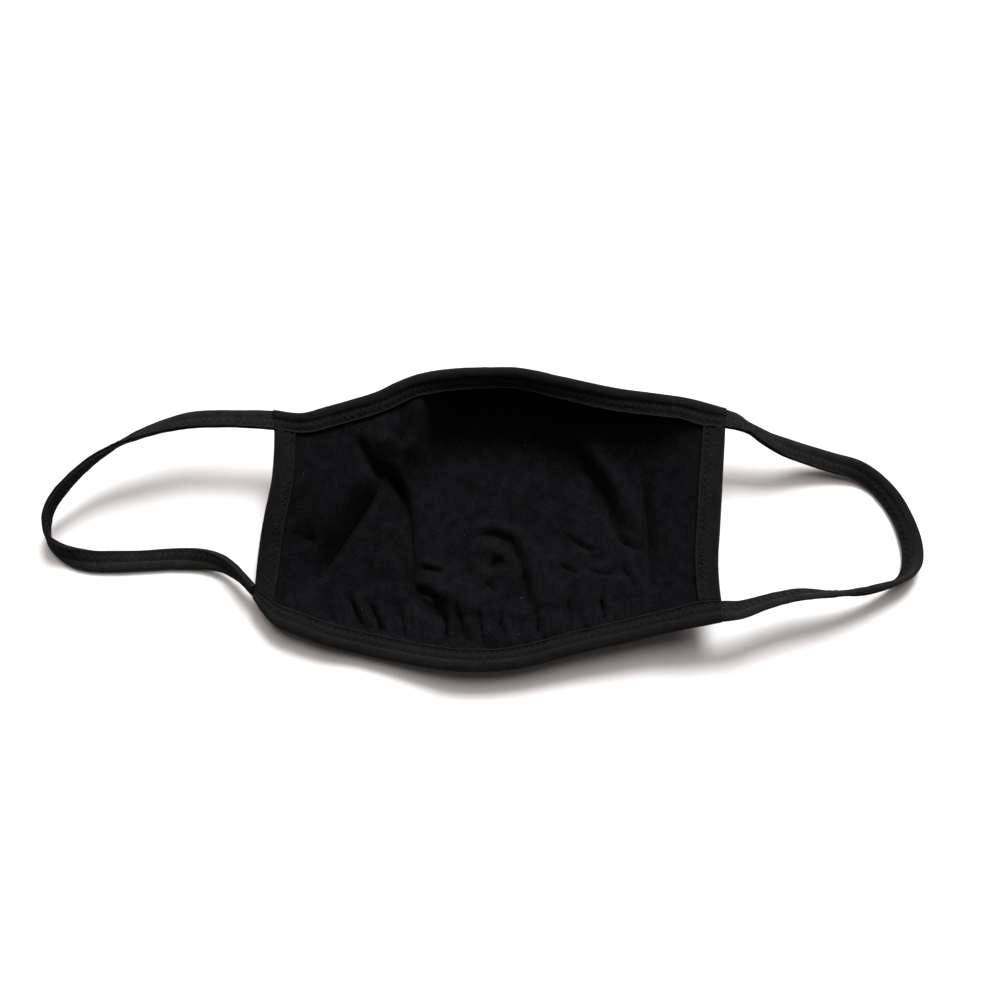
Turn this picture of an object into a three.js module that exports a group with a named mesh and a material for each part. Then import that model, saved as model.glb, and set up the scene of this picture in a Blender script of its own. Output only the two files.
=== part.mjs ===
import * as THREE from "three";

// Cloth face mask lying on its outer face, inside up. Millimetres, +X to the right,
// +Y towards the nose edge, +Z up, floor at z = 0.

const place = { x: 7, y: 14.6 }; // moves the tables below so that the origin is at the middle

const panel = { thickness: 1.2, columns: 48, rows: 31 };
// rolled is the smooth part beside the fold, edge half the height of the fold, and slot how far
// in from the fold, as a part of the panel's inset, the inside of the fold reaches.
const tape = { width: 8.3, rolled: 3.7, thickness: 1.0, gap: 0.35, edge: 1.2, slot: 0.8 };
const strap = { width: 8.2, thickness: 2.4, corner: 0.6, steps: 40 };
const panelInset = 1.6; // from the outer edge of the binding to the cut edge of the panel
const rim = [0, panelInset, tape.rolled, tape.width]; // offsets of the first grid lines
const margin = rim.length - 1;
const leftSqueeze = 0.5; // the first lines of the left edge sit closer, at its tight corner
const slopeStep = { edge: 0.02, loop: 0.01 }; // parts of a line's length, to find its direction
const fade = { sides: 5, ends: 7, tip: 0.35, run: 3 }; // how fast folds rise from their ends

// Outer edges. lean is the binding's fall towards the middle, in degrees.
const topEdge = rows("x y z lean", [
  [-88, 27.8, 26, 12],
  [-77, 26.4, 26.5, 18],
  [-68, 28.7, 27, 24],
  [-59, 31, 28, 28],
  [-48, 34.3, 29, 32],
  [-40, 38, 30, 38],
  [-31, 41, 31, 46],
  [-20, 42.3, 32, 55],
  [-6, 42.9, 32, 62],
  [8, 42.6, 32, 62],
  [25, 39.4, 31, 52],
  [45, 35.4, 30, 38],
  [60, 33.9, 28.5, 28],
  [74, 32.3, 27, 20],
  [88, 28.7, 25.5, 12],
]);
const bottomEdge = rows("x y z lean", [
  [-94.5, -43.5, 8, 4],
  [-91.3, -48.4, 8, 4],
  [-85.8, -54, 8, 2],
  [-78, -57.4, 8, 2],
  [-67, -61.3, 7, 2],
  [-55, -64, 5.5, 0],
  [-43, -66.8, 6, 2],
  [-30.5, -69.7, 8, 6],
  [-19, -71.8, 10, 8],
  [-9, -72.4, 10.5, 8],
  [0.5, -72, 10.5, 8],
  [12, -70.2, 11, 8],
  [24, -67.2, 12, 6],
  [36, -64.4, 13, 6],
  [48, -61.9, 14, 6],
  [60, -59.3, 15.5, 6],
  [71, -57.6, 18, 6],
  [83, -55.8, 19.5, 6],
]);
const leftEdge = rows("x y z lean", [
  [-94.5, -43.5, 8, 4],
  [-94.2, -38, 8.8, 9],
  [-93.6, -31, 11, 15],
  [-92.4, -21, 14, 22],
  [-90.6, -12.3, 18, 25],
  [-88, 0, 22, 24],
  [-87.4, 10, 24, 17],
  [-87.5, 18.1, 25, 12],
  [-88, 27.8, 26, 10],
]);
const rightEdge = rows("x y z lean", [
  [83, -55.6, 19.5, 6],
  [83, -47, 19.5, 8],
  [82.6, -41.6, 20, 10],
  [82.5, -32, 21, 11],
  [83.7, -19.7, 22, 12],
  [85.6, 1.1, 24, 12],
  [87.4, 19.8, 25, 12],
  [88, 28.7, 25.5, 12],
]);

// Where the inner edges of two bindings meet, at each corner.
const innerCorners = [
  { side: "left", end: "bottom", x: -86.8, y: -44.6, z: 7.9 },
  { side: "right", end: "bottom", x: 74.6, y: -47.8, z: 18.6 },
  { side: "left", end: "top", x: -79.6, y: 19.2, z: 23.4 },
  { side: "right", end: "top", x: 79.2, y: 21.6, z: 23.7 },
];

// Height of the cloth between the bindings: a row per section across the mask, at part s of the
// way from left to right, and a column per part of the way from the chin edge to the nose edge.
const sectionAt = [0.12, 0.3, 0.5, 0.7, 0.85, 0.94];
const sections = rows("s z12 z30 z50 z70 z85 z94", [
  [0.09, 5.5, 7, 14, 19.5, 22, 23],
  [0.18, 3.5, 4, 7.5, 16, 21, 23.5],
  [0.25, 3, 2, 3, 10, 19, 23],
  [0.3, 3, 0.8, 1, 6, 17, 23.5],
  [0.335, 3, 0.5, 0.4, 1.2, 5, 15],
  [0.44, 4, 0.4, 0.2, 0.3, 1.8, 10],
  [0.56, 4.5, 0.5, 0.2, 0.3, 1.8, 10],
  [0.69, 5.5, 1.2, 0.5, 0.8, 3.2, 11],
  [0.8, 8, 3.5, 2.5, 3.5, 7, 14],
  [0.9, 12, 8.5, 8, 9, 12.5, 17.5],
]);

// Folds: each row a ridge (up) or a valley (down), along a line of four points.
const folds = rows("ax ay bx by cx cy dx dy width up", [
  [-55, 17, -51.5, 11, -49, 7, -45, 5.5, 3.2, -3.4], // valley down from the nose edge
  [-46, 27, -45, 23, -44.8, 17, -43, 11, 4.8, 3.6], // gathered pillow beside it
  [-45.7, 4, -54.5, -9, -63, -22.5, -72, -35.5, 3.6, -4], // long diagonal valley
  [-50, 8, -58, -4, -67, -16, -77, -28, 5, 2.4], // its upper lip
  [-44, 6, -38.5, -1, -36.3, -17.5, -35, -34.5, 3.2, -3.6], // valley down the left of the bowl
  [-31.5, 3, -30, -8, -29, -20, -28, -33, 4.2, 3], // lip beside it
  [-45, -8, -46, -18, -46, -27, -45, -36, 6, 2.2], // swell between the two valleys
  [-35, -34.5, -30.5, -43.8, -23, -47.7, -20.5, -58, 3.2, -3.4], // and on to the chin edge
  [-26, -37, -18, -41, -14, -47, -13, -54, 4.4, 3],
  [-9, -13, 0, -14, 7, -17, 12, -28, 3.6, 2.4], // hooked fold in the middle
  [8.6, -30.7, 9.4, -36, 9.8, -41, 9.7, -46, 3, -3],
  [-7, -22, -1, -22.5, 3.5, -27, 4, -38, 3.8, 3], // puff inside the hook
  [15, -24, 16, -32, 16.5, -40, 16, -48, 4.5, 2.6],
  [-58.5, -42, -55, -48, -53.5, -51, -51.7, -54, 2.6, -2],
  [-50.5, -44.5, -47.5, -50.5, -46, -53, -44.5, -56, 2.6, -2.4],
  [-55, -42, -51.5, -48, -50, -51, -48.5, -54, 3, 1.8],
  [-38, -45, -37.8, -50, -37.2, -54, -36.6, -58, 2.6, -2],
  [39, -43.5, 39.1, -47, 39.3, -50, 39.4, -53, 2.6, -2.2],
  [26, -42, 26.5, -47, 26.8, -51, 27, -55, 2.6, -2],
  [32, -42, 32.5, -46, 33, -50, 33, -54, 3.4, 2.2],
  [-81, -17.4, -77, -18.8, -74, -20, -70.5, -20.5, 3.2, -2],
  [23, 27, 32.5, 12, 42, 0, 46, -17.5, 4.8, -3], // broad valley at the right of the bowl
  [33, 25, 40, 13, 47.5, -1, 54, -15.5, 4, 3.4], // ridge
  [57, 6, 57.6, -11, 58, -28, 57, -37, 3.4, -3.8], // narrow valley
  [60, 3, 64.5, -14, 69, -30, 71.5, -41.5, 4.6, 2.2], // ridge
]);

// Ear loops: the middle line from the nose edge round to the chin edge, and the strip's roll
// about it in degrees (0 lies flat, 90 stands on edge).
const leftLoop = rows("x y z roll", [
  [-88.5, 23.7, 25.7, 6],
  [-93, 24.1, 25.6, 10],
  [-99, 24.5, 25.2, 14],
  [-109, 24.7, 25, 16],
  [-120, 24.4, 24.5, 20],
  [-129.5, 22.4, 24, 34],
  [-139.5, 19.2, 23, 48],
  [-149, 15.4, 21, 64],
  [-157, 11, 19, 76],
  [-164, 5.6, 17, 84],
  [-170.3, -0.4, 14.5, 90],
  [-175.2, -6.4, 11.5, 90],
  [-177.2, -12.4, 8.5, 88],
  [-176.2, -19, 6, 78],
  [-170.4, -23.8, 4.2, 56],
  [-161.5, -26.2, 2.6, 24],
  [-150, -26.3, 1.8, 4],
  [-140, -25.9, 1.6, 0],
  [-127.5, -25.3, 2, 10],
  [-116.5, -26, 3.5, 30],
  [-108.5, -28.4, 5.4, 54],
  [-102.9, -32, 6.8, 68],
  [-98.9, -35.6, 7.6, 76],
  [-95.7, -39, 8, 78],
]);
const rightLoop = rows("x y z roll", [
  [88.7, 24.4, 25.1, -10],
  [92.5, 23.9, 23.8, -20],
  [97.5, 22.4, 21, -40],
  [105, 19.2, 17.6, -28],
  [113.5, 17, 13.6, -4],
  [123.5, 15.6, 8.8, 4],
  [133.5, 13.8, 5.4, 14],
  [142.6, 11.4, 4.2, 30],
  [149.3, 6.9, 3.8, 42],
  [154.5, 0.8, 3.8, 46],
  [158.2, -6, 3.6, 42],
  [160.6, -13, 3.4, 34],
  [161.9, -20.5, 3.4, 30],
  [161.2, -27.4, 4, 40],
  [158.4, -32.6, 5, 62],
  [153.8, -36, 6.4, 80],
  [147.5, -38.6, 8.2, 88],
  [138.4, -41.2, 11, 86],
  [125.6, -43.2, 14.5, 66],
  [114, -44.2, 17, 50],
  [105, -46.2, 18.2, 46],
  [98, -48.4, 18.8, 42],
  [90.5, -50.8, 19.3, 24],
  [84, -51.5, 19.5, 4],
]);

function rows(names, table) {
  const keys = names.split(" ");
  return table.map((row) => Object.fromEntries(keys.map((key, n) => [key, row[n]])));
}

// Value at t of a smooth curve through points [t, value], its slopes taken from the neighbours.
function smoothThrough(points, t) {
  const last = points.length - 1;
  let k = 0;
  while (k < last - 1 && t > points[k + 1][0]) k++;
  const slope = (n) => {
    const a = points[Math.max(n - 1, 0)];
    const b = points[Math.min(n + 1, last)];
    return (b[1] - a[1]) / (b[0] - a[0]);
  };
  const [t0, v0] = points[k];
  const [t1, v1] = points[k + 1];
  const h = t1 - t0;
  const u = Math.min(Math.max((t - t0) / h, 0), 1);
  const u2 = u * u;
  const u3 = u2 * u;
  return (
    (2 * u3 - 3 * u2 + 1) * v0 +
    (u3 - 2 * u2 + u) * h * slope(k) +
    (3 * u2 - 2 * u3) * v1 +
    (u3 - u2) * h * slope(k + 1)
  );
}

// A table's line as a function of the distance along it, in parts of its length.
function lineThrough(table, keys) {
  const chord = [0];
  for (let n = 1; n < table.length; n++) {
    const a = table[n - 1];
    const b = table[n];
    chord.push(chord[n - 1] + Math.hypot(b.x - a.x, b.y - a.y, b.z - a.z));
  }
  const length = chord[chord.length - 1];
  const tracks = {};
  for (const key of keys) tracks[key] = table.map((row, n) => [chord[n] / length, row[key]]);
  const at = (f) => {
    const out = {};
    for (const key of keys) out[key] = smoothThrough(tracks[key], f);
    return out;
  };
  return { length, at };
}

const edges = {
  top: { ...lineThrough(topEdge, ["x", "y", "z", "lean"]), side: -1 },
  bottom: { ...lineThrough(bottomEdge, ["x", "y", "z", "lean"]), side: 1 },
  left: { ...lineThrough(leftEdge, ["x", "y", "z", "lean"]), side: -1 },
  right: { ...lineThrough(rightEdge, ["x", "y", "z", "lean"]), side: 1 },
};

// The point a given distance inside an outer edge, down the slope of its binding.
function insideEdge(edge, f, inset) {
  const a = edge.at(Math.max(f - slopeStep.edge, 0));
  const b = edge.at(Math.min(f + slopeStep.edge, 1));
  const p = edge.at(f);
  const run = Math.hypot(b.x - a.x, b.y - a.y);
  const inX = (-edge.side * (b.y - a.y)) / run;
  const inY = (edge.side * (b.x - a.x)) / run;
  const lean = THREE.MathUtils.degToRad(p.lean);
  const across = inset * Math.cos(lean);
  return new THREE.Vector3(
    p.x + inX * across,
    p.y + inY * across,
    p.z - inset * Math.sin(lean),
  );
}

// Where the grid lines sit along an edge: three narrow ones under each binding, the rest even.
function stations(edge, count, squeeze = 1) {
  const low = (rim[margin] * squeeze) / edge.length;
  const high = rim[margin] / edge.length;
  const at = [];
  for (let n = 0; n <= count; n++) {
    const part = (n - margin) / (count - 2 * margin);
    if (n <= margin) at.push((rim[n] * squeeze) / edge.length);
    else if (n >= count - margin) at.push(1 - rim[count - n] / edge.length);
    else at.push(low + part * (1 - low - high));
  }
  return at;
}

function clothGrid() {
  const { columns, rows: count } = panel;
  const along = {
    top: stations(edges.top, columns),
    bottom: stations(edges.bottom, columns),
    left: stations(edges.left, count, leftSqueeze),
    right: stations(edges.right, count),
  };
  const outline = (name, n) => insideEdge(edges[name], along[name][n], 0);
  // A corner is a small patch between the two outer edges and its inner corner.
  const atCorner = (i, j, side, end) => {
    const inner = innerCorners.find((row) => row.side === side && row.end === end);
    const last = { left: margin, right: columns - margin, bottom: margin, top: count - margin };
    const a = rim[side === "left" ? i : columns - i] / tape.width;
    const b = rim[end === "bottom" ? j : count - j] / tape.width;
    const nearCorner = outline(end, side === "left" ? 0 : columns);
    const onEnd = outline(end, i);
    const onSide = outline(side, j);
    const farEnd = outline(end, last[side]);
    const farSide = outline(side, last[end]);
    const out = new THREE.Vector3();
    for (const axis of ["x", "y", "z"]) {
      const lineEnd = farSide[axis] + (inner[axis] - farSide[axis]) * a;
      const lineSide = farEnd[axis] + (inner[axis] - farEnd[axis]) * b;
      const edgeMix = (1 - b) * onEnd[axis] + b * lineEnd + (1 - a) * onSide[axis] + a * lineSide;
      const cornerMix =
        (1 - a) * (1 - b) * nearCorner[axis] +
        a * (1 - b) * farEnd[axis] +
        (1 - a) * b * farSide[axis] +
        a * b * inner[axis];
      out[axis] = edgeMix - cornerMix;
    }
    return out;
  };
  const fromEdge = (i, j) => {
    const side = i <= columns / 2 ? "left" : "right";
    const end = j <= count / 2 ? "bottom" : "top";
    const acrossLines = Math.min(i, columns - i);
    const upLines = Math.min(j, count - j);
    if (upLines > margin) return insideEdge(edges[side], along[side][j], rim[acrossLines]);
    if (acrossLines > margin) return insideEdge(edges[end], along[end][i], rim[upLines]);
    return atCorner(i, j, side, end);
  };
  const grid = [];
  for (let i = 0; i <= columns; i++) {
    grid.push([]);
    for (let j = 0; j <= count; j++) {
      const rimNode = Math.min(i, columns - i, j, count - j) <= margin;
      grid[i].push(rimNode ? fromEdge(i, j) : null);
    }
  }
  const i0 = margin;
  const i1 = columns - margin;
  const j0 = margin;
  const j1 = count - margin;
  for (let i = i0 + 1; i < i1; i++) {
    for (let j = j0 + 1; j < j1; j++) {
      const s = (i - i0) / (i1 - i0);
      const t = (j - j0) / (j1 - j0);
      const mix = (axis) =>
        (1 - s) * grid[i0][j][axis] +
        s * grid[i1][j][axis] +
        (1 - t) * grid[i][j0][axis] +
        t * grid[i][j1][axis] -
        (1 - s) * (1 - t) * grid[i0][j0][axis] -
        s * (1 - t) * grid[i1][j0][axis] -
        (1 - s) * t * grid[i0][j1][axis] -
        s * t * grid[i1][j1][axis];
      const x = mix("x");
      const y = mix("y");
      const column = sectionAt.map((at, n) => {
        const key = "z" + String(Math.round(at * 100)).padStart(2, "0");
        const jj = j0 + at * (j1 - j0);
        const side = (ii) => heightBetween(grid[ii], jj);
        const across = [[0, side(i0)], ...sections.map((row) => [row.s, row[key]]), [1, side(i1)]];
        return [sectionAt[n], smoothThrough(across, s)];
      });
      const upward = [[0, grid[i][j0].z], ...column, [1, grid[i][j1].z]];
      const sides = fade.sides * Math.min(s, 1 - s);
      const rise = Math.min(1, sides, fade.ends * Math.min(t, 1 - t));
      const z = smoothThrough(upward, t) + rise * foldHeight(x, y);
      grid[i][j] = new THREE.Vector3(x, y, onFloor(z));
    }
  }
  return grid;
}

function heightBetween(line, at) {
  const low = Math.floor(at);
  const high = Math.min(low + 1, line.length - 1);
  return line[low].z + (at - low) * (line[high].z - line[low].z);
}

// The cloth lies flat on the floor where it would otherwise go through it.
function onFloor(z) {
  return Math.max(z, panel.thickness / 2);
}

function foldHeight(x, y) {
  let sum = 0;
  for (const fold of folds) {
    const line = [
      [fold.ax, fold.ay],
      [fold.bx, fold.by],
      [fold.cx, fold.cy],
      [fold.dx, fold.dy],
    ];
    let nearest = Infinity;
    let taper = 1;
    for (let n = 0; n < 3; n++) {
      const [ax, ay] = line[n];
      const [bx, by] = line[n + 1];
      const dx = bx - ax;
      const dy = by - ay;
      const raw = ((x - ax) * dx + (y - ay) * dy) / (dx * dx + dy * dy);
      const u = Math.min(Math.max(raw, 0), 1);
      const away = Math.hypot(x - ax - u * dx, y - ay - u * dy);
      if (away < nearest) {
        nearest = away;
        const along = (n + u) / 3;
        taper = Math.min(1, fade.tip + fade.run * Math.min(along, 1 - along));
      }
    }
    sum += fold.up * taper * Math.exp(-((nearest / fold.width) ** 2));
  }
  return sum;
}

function clothNormals(grid) {
  const last = [grid.length - 1, grid[0].length - 1];
  return grid.map((line, i) =>
    line.map((_, j) => {
      const du = new THREE.Vector3().subVectors(
        grid[Math.min(i + 1, last[0])][j],
        grid[Math.max(i - 1, 0)][j],
      );
      const dv = new THREE.Vector3().subVectors(
        grid[i][Math.min(j + 1, last[1])],
        grid[i][Math.max(j - 1, 0)],
      );
      return du.cross(dv).normalize();
    }),
  );
}

function solid(points, triangles, name, colour) {
  const geometry = new THREE.BufferGeometry();
  const position = new Float32Array(points.length * 3);
  points.forEach((p, n) => {
    position[3 * n] = p.x + place.x;
    position[3 * n + 1] = p.y + place.y;
    position[3 * n + 2] = p.z;
  });
  geometry.setAttribute("position", new THREE.BufferAttribute(position, 3));
  geometry.setIndex(triangles);
  geometry.computeVertexNormals();
  const finish = new THREE.MeshStandardMaterial({ color: colour, roughness: 0.95 });
  const mesh = new THREE.Mesh(geometry, finish);
  mesh.name = name;
  return mesh;
}

function quad(triangles, a, b, c, d) {
  triangles.push(a, b, c, a, c, d);
}

function panelMesh(grid, normals) {
  const half = panel.thickness / 2;
  const wide = grid.length - 2;
  const high = grid[0].length - 2;
  const points = [];
  const index = {};
  for (const face of [1, -1]) {
    for (let i = 1; i <= wide; i++) {
      for (let j = 1; j <= high; j++) {
        index[[face, i, j]] = points.length;
        const p = grid[i][j].clone().addScaledVector(normals[i][j], face * half);
        p.z = Math.max(p.z, 0);
        points.push(p);
      }
    }
  }
  const at = (face, i, j) => index[[face, i, j]];
  const triangles = [];
  for (let i = 1; i < wide; i++) {
    for (let j = 1; j < high; j++) {
      quad(triangles, at(1, i, j), at(1, i + 1, j), at(1, i + 1, j + 1), at(1, i, j + 1));
      const under = [at(-1, i, j), at(-1, i + 1, j), at(-1, i + 1, j + 1), at(-1, i, j + 1)];
      triangles.push(under[0], under[2], under[1], under[0], under[3], under[2]);
    }
  }
  for (let i = 1; i < wide; i++) {
    quad(triangles, at(-1, i, 1), at(-1, i + 1, 1), at(1, i + 1, 1), at(1, i, 1));
    quad(triangles, at(-1, i + 1, high), at(-1, i, high), at(1, i, high), at(1, i + 1, high));
  }
  for (let j = 1; j < high; j++) {
    quad(triangles, at(-1, 1, j + 1), at(-1, 1, j), at(1, 1, j), at(1, 1, j + 1));
    quad(triangles, at(-1, wide, j), at(-1, wide, j + 1), at(1, wide, j + 1), at(1, wide, j));
  }
  return solid(points, triangles, "mask_panel", 0x17171a);
}

// A folded strip round one edge, as rings of six outer and six inner points.
function bindingMesh(rings, name, inward) {
  const points = [];
  const triangles = [];
  const inner = panel.thickness / 2 + tape.gap;
  const outer = inner + tape.thickness;
  for (const ring of rings) {
    const [edge, inset, rolled, end] = ring;
    const slot = edge.point.clone().lerp(inset.point, tape.slot);
    const put = (node, lift, point) =>
      points.push((point || node.point).clone().addScaledVector(node.normal, lift));
    put(end, outer);
    put(rolled, outer);
    put(edge, tape.edge);
    put(edge, -tape.edge);
    put(rolled, -outer);
    put(end, -outer);
    put(end, inner);
    put(rolled, inner);
    put(inset, inner, slot);
    put(inset, -inner, slot);
    put(rolled, -inner);
    put(end, -inner);
  }
  const size = 12;
  const order = [0, 1, 2, 3, 4, 5, 11, 10, 9, 8, 7, 6];
  for (let n = 0; n < rings.length - 1; n++) {
    for (let k = 0; k < size; k++) {
      const a = n * size + order[k];
      const b = n * size + order[(k + 1) % size];
      quadTurned(triangles, a, b, b + size, a + size, inward);
    }
  }
  for (const [ring, turned] of [
    [0, inward],
    [rings.length - 1, !inward],
  ]) {
    for (let k = 0; k < 5; k++) {
      const o = ring * size + k;
      quadTurned(triangles, o, o + 6, o + 7, o + 1, turned);
    }
  }
  return solid(points, triangles, name, 0x1a1a1c);
}

function quadTurned(triangles, a, b, c, d, turned) {
  if (turned) quad(triangles, d, c, b, a);
  else quad(triangles, a, b, c, d);
}

function between(a, b, part) {
  return {
    point: a.point.clone().lerp(b.point, part),
    normal: a.normal.clone().lerp(b.normal, part).normalize(),
  };
}

function loopMesh(table, name) {
  const path = lineThrough(table, ["x", "y", "z", "roll"]);
  const points = [];
  const triangles = [];
  const w = strap.width / 2;
  const t = strap.thickness / 2;
  const c = strap.corner;
  const profile = [
    [w, -t + c],
    [w, t - c],
    [w - c, t],
    [-w + c, t],
    [-w, t - c],
    [-w, -t + c],
    [-w + c, -t],
    [w - c, -t],
  ];
  const up = new THREE.Vector3(0, 0, 1);
  const vector = (p) => new THREE.Vector3(p.x, p.y, p.z);
  for (let n = 0; n <= strap.steps; n++) {
    const f = n / strap.steps;
    const here = path.at(f);
    const ahead = vector(path.at(Math.min(f + slopeStep.loop, 1)));
    const behind = vector(path.at(Math.max(f - slopeStep.loop, 0)));
    const tangent = ahead.sub(behind).normalize();
    const flat = new THREE.Vector3().crossVectors(up, tangent).normalize();
    const out = new THREE.Vector3().crossVectors(tangent, flat).normalize();
    const roll = THREE.MathUtils.degToRad(here.roll);
    const wide = flat
      .clone()
      .multiplyScalar(Math.cos(roll))
      .addScaledVector(out, Math.sin(roll));
    const thick = out
      .clone()
      .multiplyScalar(Math.cos(roll))
      .addScaledVector(flat, -Math.sin(roll));
    for (const [a, b] of profile) {
      points.push(vector(here).addScaledVector(wide, a).addScaledVector(thick, b));
    }
  }
  const size = profile.length;
  for (let n = 0; n < strap.steps; n++) {
    for (let k = 0; k < size; k++) {
      const a = n * size + k;
      const b = n * size + ((k + 1) % size);
      quad(triangles, a, b, b + size, a + size);
    }
  }
  const end = strap.steps * size;
  for (let k = 1; k < size - 1; k++) {
    triangles.push(0, k + 1, k);
    triangles.push(end, end + k, end + k + 1);
  }
  return solid(points, triangles, name, 0x1b1b1c);
}

const cornerLines = 9;
const grid = clothGrid();
const normals = clothNormals(grid);
const columns = panel.columns;
const count = panel.rows;
const node = (i, j) => ({ point: grid[i][j], normal: normals[i][j] });

// Every grid line near the corners, and every second one between them.
function ringsAlong(ringAt, from, to) {
  const rings = [];
  for (let n = from; n <= to; n++) {
    const nearEnd = n < from + cornerLines || n > to - cornerLines;
    if (nearEnd || (n - from) % 2 === 0) rings.push(ringAt(n));
  }
  return rings;
}

function shortened(rings) {
  const trim = (a, b) =>
    a.map((p, k) => between(p, b[k], tape.gap / p.point.distanceTo(b[k].point)));
  const out = [...rings];
  out[0] = trim(rings[0], rings[1]);
  out[out.length - 1] = trim(rings[rings.length - 1], rings[rings.length - 2]);
  return out;
}

const inset = [0, 1, 2, 3];
const bottomRings = ringsAlong((i) => inset.map((d) => node(i, d)), 0, columns);
const topRings = ringsAlong((i) => inset.map((d) => node(i, count - d)), 0, columns);
const sideFrom = margin;
const sideTo = count - margin;
const leftRings = ringsAlong((j) => inset.map((d) => node(d, j)), sideFrom, sideTo);
const rightRings = ringsAlong((j) => inset.map((d) => node(columns - d, j)), sideFrom, sideTo);

const mask = new THREE.Group();
mask.add(panelMesh(grid, normals));
mask.add(bindingMesh(bottomRings, "bottom_binding", false));
mask.add(bindingMesh(topRings, "top_binding", true));
mask.add(bindingMesh(shortened(leftRings), "side_binding_left", true));
mask.add(bindingMesh(shortened(rightRings), "side_binding_right", false));
mask.add(loopMesh(leftLoop, "ear_loop_left"));
mask.add(loopMesh(rightLoop, "ear_loop_right"));

export default mask;
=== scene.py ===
import math

import bpy
import numpy as np
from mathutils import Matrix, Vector


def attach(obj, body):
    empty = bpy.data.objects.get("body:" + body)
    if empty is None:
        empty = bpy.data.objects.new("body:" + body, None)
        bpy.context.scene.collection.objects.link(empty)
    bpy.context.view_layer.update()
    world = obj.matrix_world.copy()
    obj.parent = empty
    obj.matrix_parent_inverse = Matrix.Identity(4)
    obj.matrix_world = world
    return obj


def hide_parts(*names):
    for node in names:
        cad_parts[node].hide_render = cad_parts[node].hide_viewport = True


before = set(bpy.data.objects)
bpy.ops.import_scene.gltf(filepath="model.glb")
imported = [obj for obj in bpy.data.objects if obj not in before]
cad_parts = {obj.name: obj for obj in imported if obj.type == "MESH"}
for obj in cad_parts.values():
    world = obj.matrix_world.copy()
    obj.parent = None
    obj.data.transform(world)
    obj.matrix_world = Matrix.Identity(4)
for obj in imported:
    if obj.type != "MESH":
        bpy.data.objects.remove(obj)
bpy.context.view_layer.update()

# Cloth face mask lying on its outer face, inside up. The tables are in millimetres;
# place moves them so that the origin is at the middle of the outline.
place = (7.0, 14.6, 0.0)
mm = 0.001


def rows(names, table):
    data = np.array(table, float)
    return {name: data[:, n] for n, name in enumerate(names.split())}


# Outer edges. lean is the binding's fall towards the middle, in degrees.
topEdge = rows("x y z lean", [
    (-88, 27.8, 26, 12),
    (-77, 26.4, 26.5, 18),
    (-68, 28.7, 27, 24),
    (-59, 31, 28, 28),
    (-48, 34.3, 29, 32),
    (-40, 38, 30, 38),
    (-31, 41, 31, 46),
    (-20, 42.3, 32, 55),
    (-6, 42.9, 32, 62),
    (8, 42.6, 32, 62),
    (25, 39.4, 31, 52),
    (45, 35.4, 30, 38),
    (60, 33.9, 28.5, 28),
    (74, 32.3, 27, 20),
    (88, 28.7, 25.5, 12),
])
bottomEdge = rows("x y z lean", [
    (-94.5, -43.5, 8, 4),
    (-91.3, -48.4, 8, 4),
    (-85.8, -54, 8, 2),
    (-78, -57.4, 8, 2),
    (-67, -61.3, 7, 2),
    (-55, -64, 5.5, 0),
    (-43, -66.8, 6, 2),
    (-30.5, -69.7, 8, 6),
    (-19, -71.8, 10, 8),
    (-9, -72.4, 10.5, 8),
    (0.5, -72, 10.5, 8),
    (12, -70.2, 11, 8),
    (24, -67.2, 12, 6),
    (36, -64.4, 13, 6),
    (48, -61.9, 14, 6),
    (60, -59.3, 15.5, 6),
    (71, -57.6, 18, 6),
    (83, -55.8, 19.5, 6),
])
leftEdge = rows("x y z lean", [
    (-94.5, -43.5, 8, 4),
    (-94.2, -38, 8.8, 9),
    (-93.6, -31, 11, 15),
    (-92.4, -21, 14, 22),
    (-90.6, -12.3, 18, 25),
    (-88, 0, 22, 24),
    (-87.4, 10, 24, 17),
    (-87.5, 18.1, 25, 12),
    (-88, 27.8, 26, 10),
])
rightEdge = rows("x y z lean", [
    (83, -55.6, 19.5, 6),
    (83, -47, 19.5, 8),
    (82.6, -41.6, 20, 10),
    (82.5, -32, 21, 11),
    (83.7, -19.7, 22, 12),
    (85.6, 1.1, 24, 12),
    (87.4, 19.8, 25, 12),
    (88, 28.7, 25.5, 12),
])

# Where the inner edges of two bindings meet, at each corner.
innerCorners = {
    ("left", "bottom"): (-86.8, -44.6, 7.9),
    ("right", "bottom"): (74.6, -47.8, 18.6),
    ("left", "top"): (-79.6, 19.2, 23.4),
    ("right", "top"): (79.2, 21.6, 23.7),
}

# Height of the cloth between the bindings: a row for each section across the mask, at part s
# of the way from left to right, and a column for each part of the way up from the chin edge.
sectionAt = [0.12, 0.3, 0.5, 0.7, 0.85, 0.94]
sections = rows("s z12 z30 z50 z70 z85 z94", [
    (0.09, 5.5, 7, 14, 19.5, 22, 23),
    (0.18, 3.5, 4, 7.5, 16, 21, 23.5),
    (0.25, 3, 2, 3, 10, 19, 23),
    (0.3, 3, 0.8, 1, 6, 17, 23.5),
    (0.335, 3, 0.5, 0.4, 1.2, 5, 15),
    (0.44, 4, 0.4, 0.2, 0.3, 1.8, 10),
    (0.56, 4.5, 0.5, 0.2, 0.3, 1.8, 10),
    (0.69, 5.5, 1.2, 0.5, 0.8, 3.2, 11),
    (0.8, 8, 3.5, 2.5, 3.5, 7, 14),
    (0.9, 12, 8.5, 8, 9, 12.5, 17.5),
])

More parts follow.
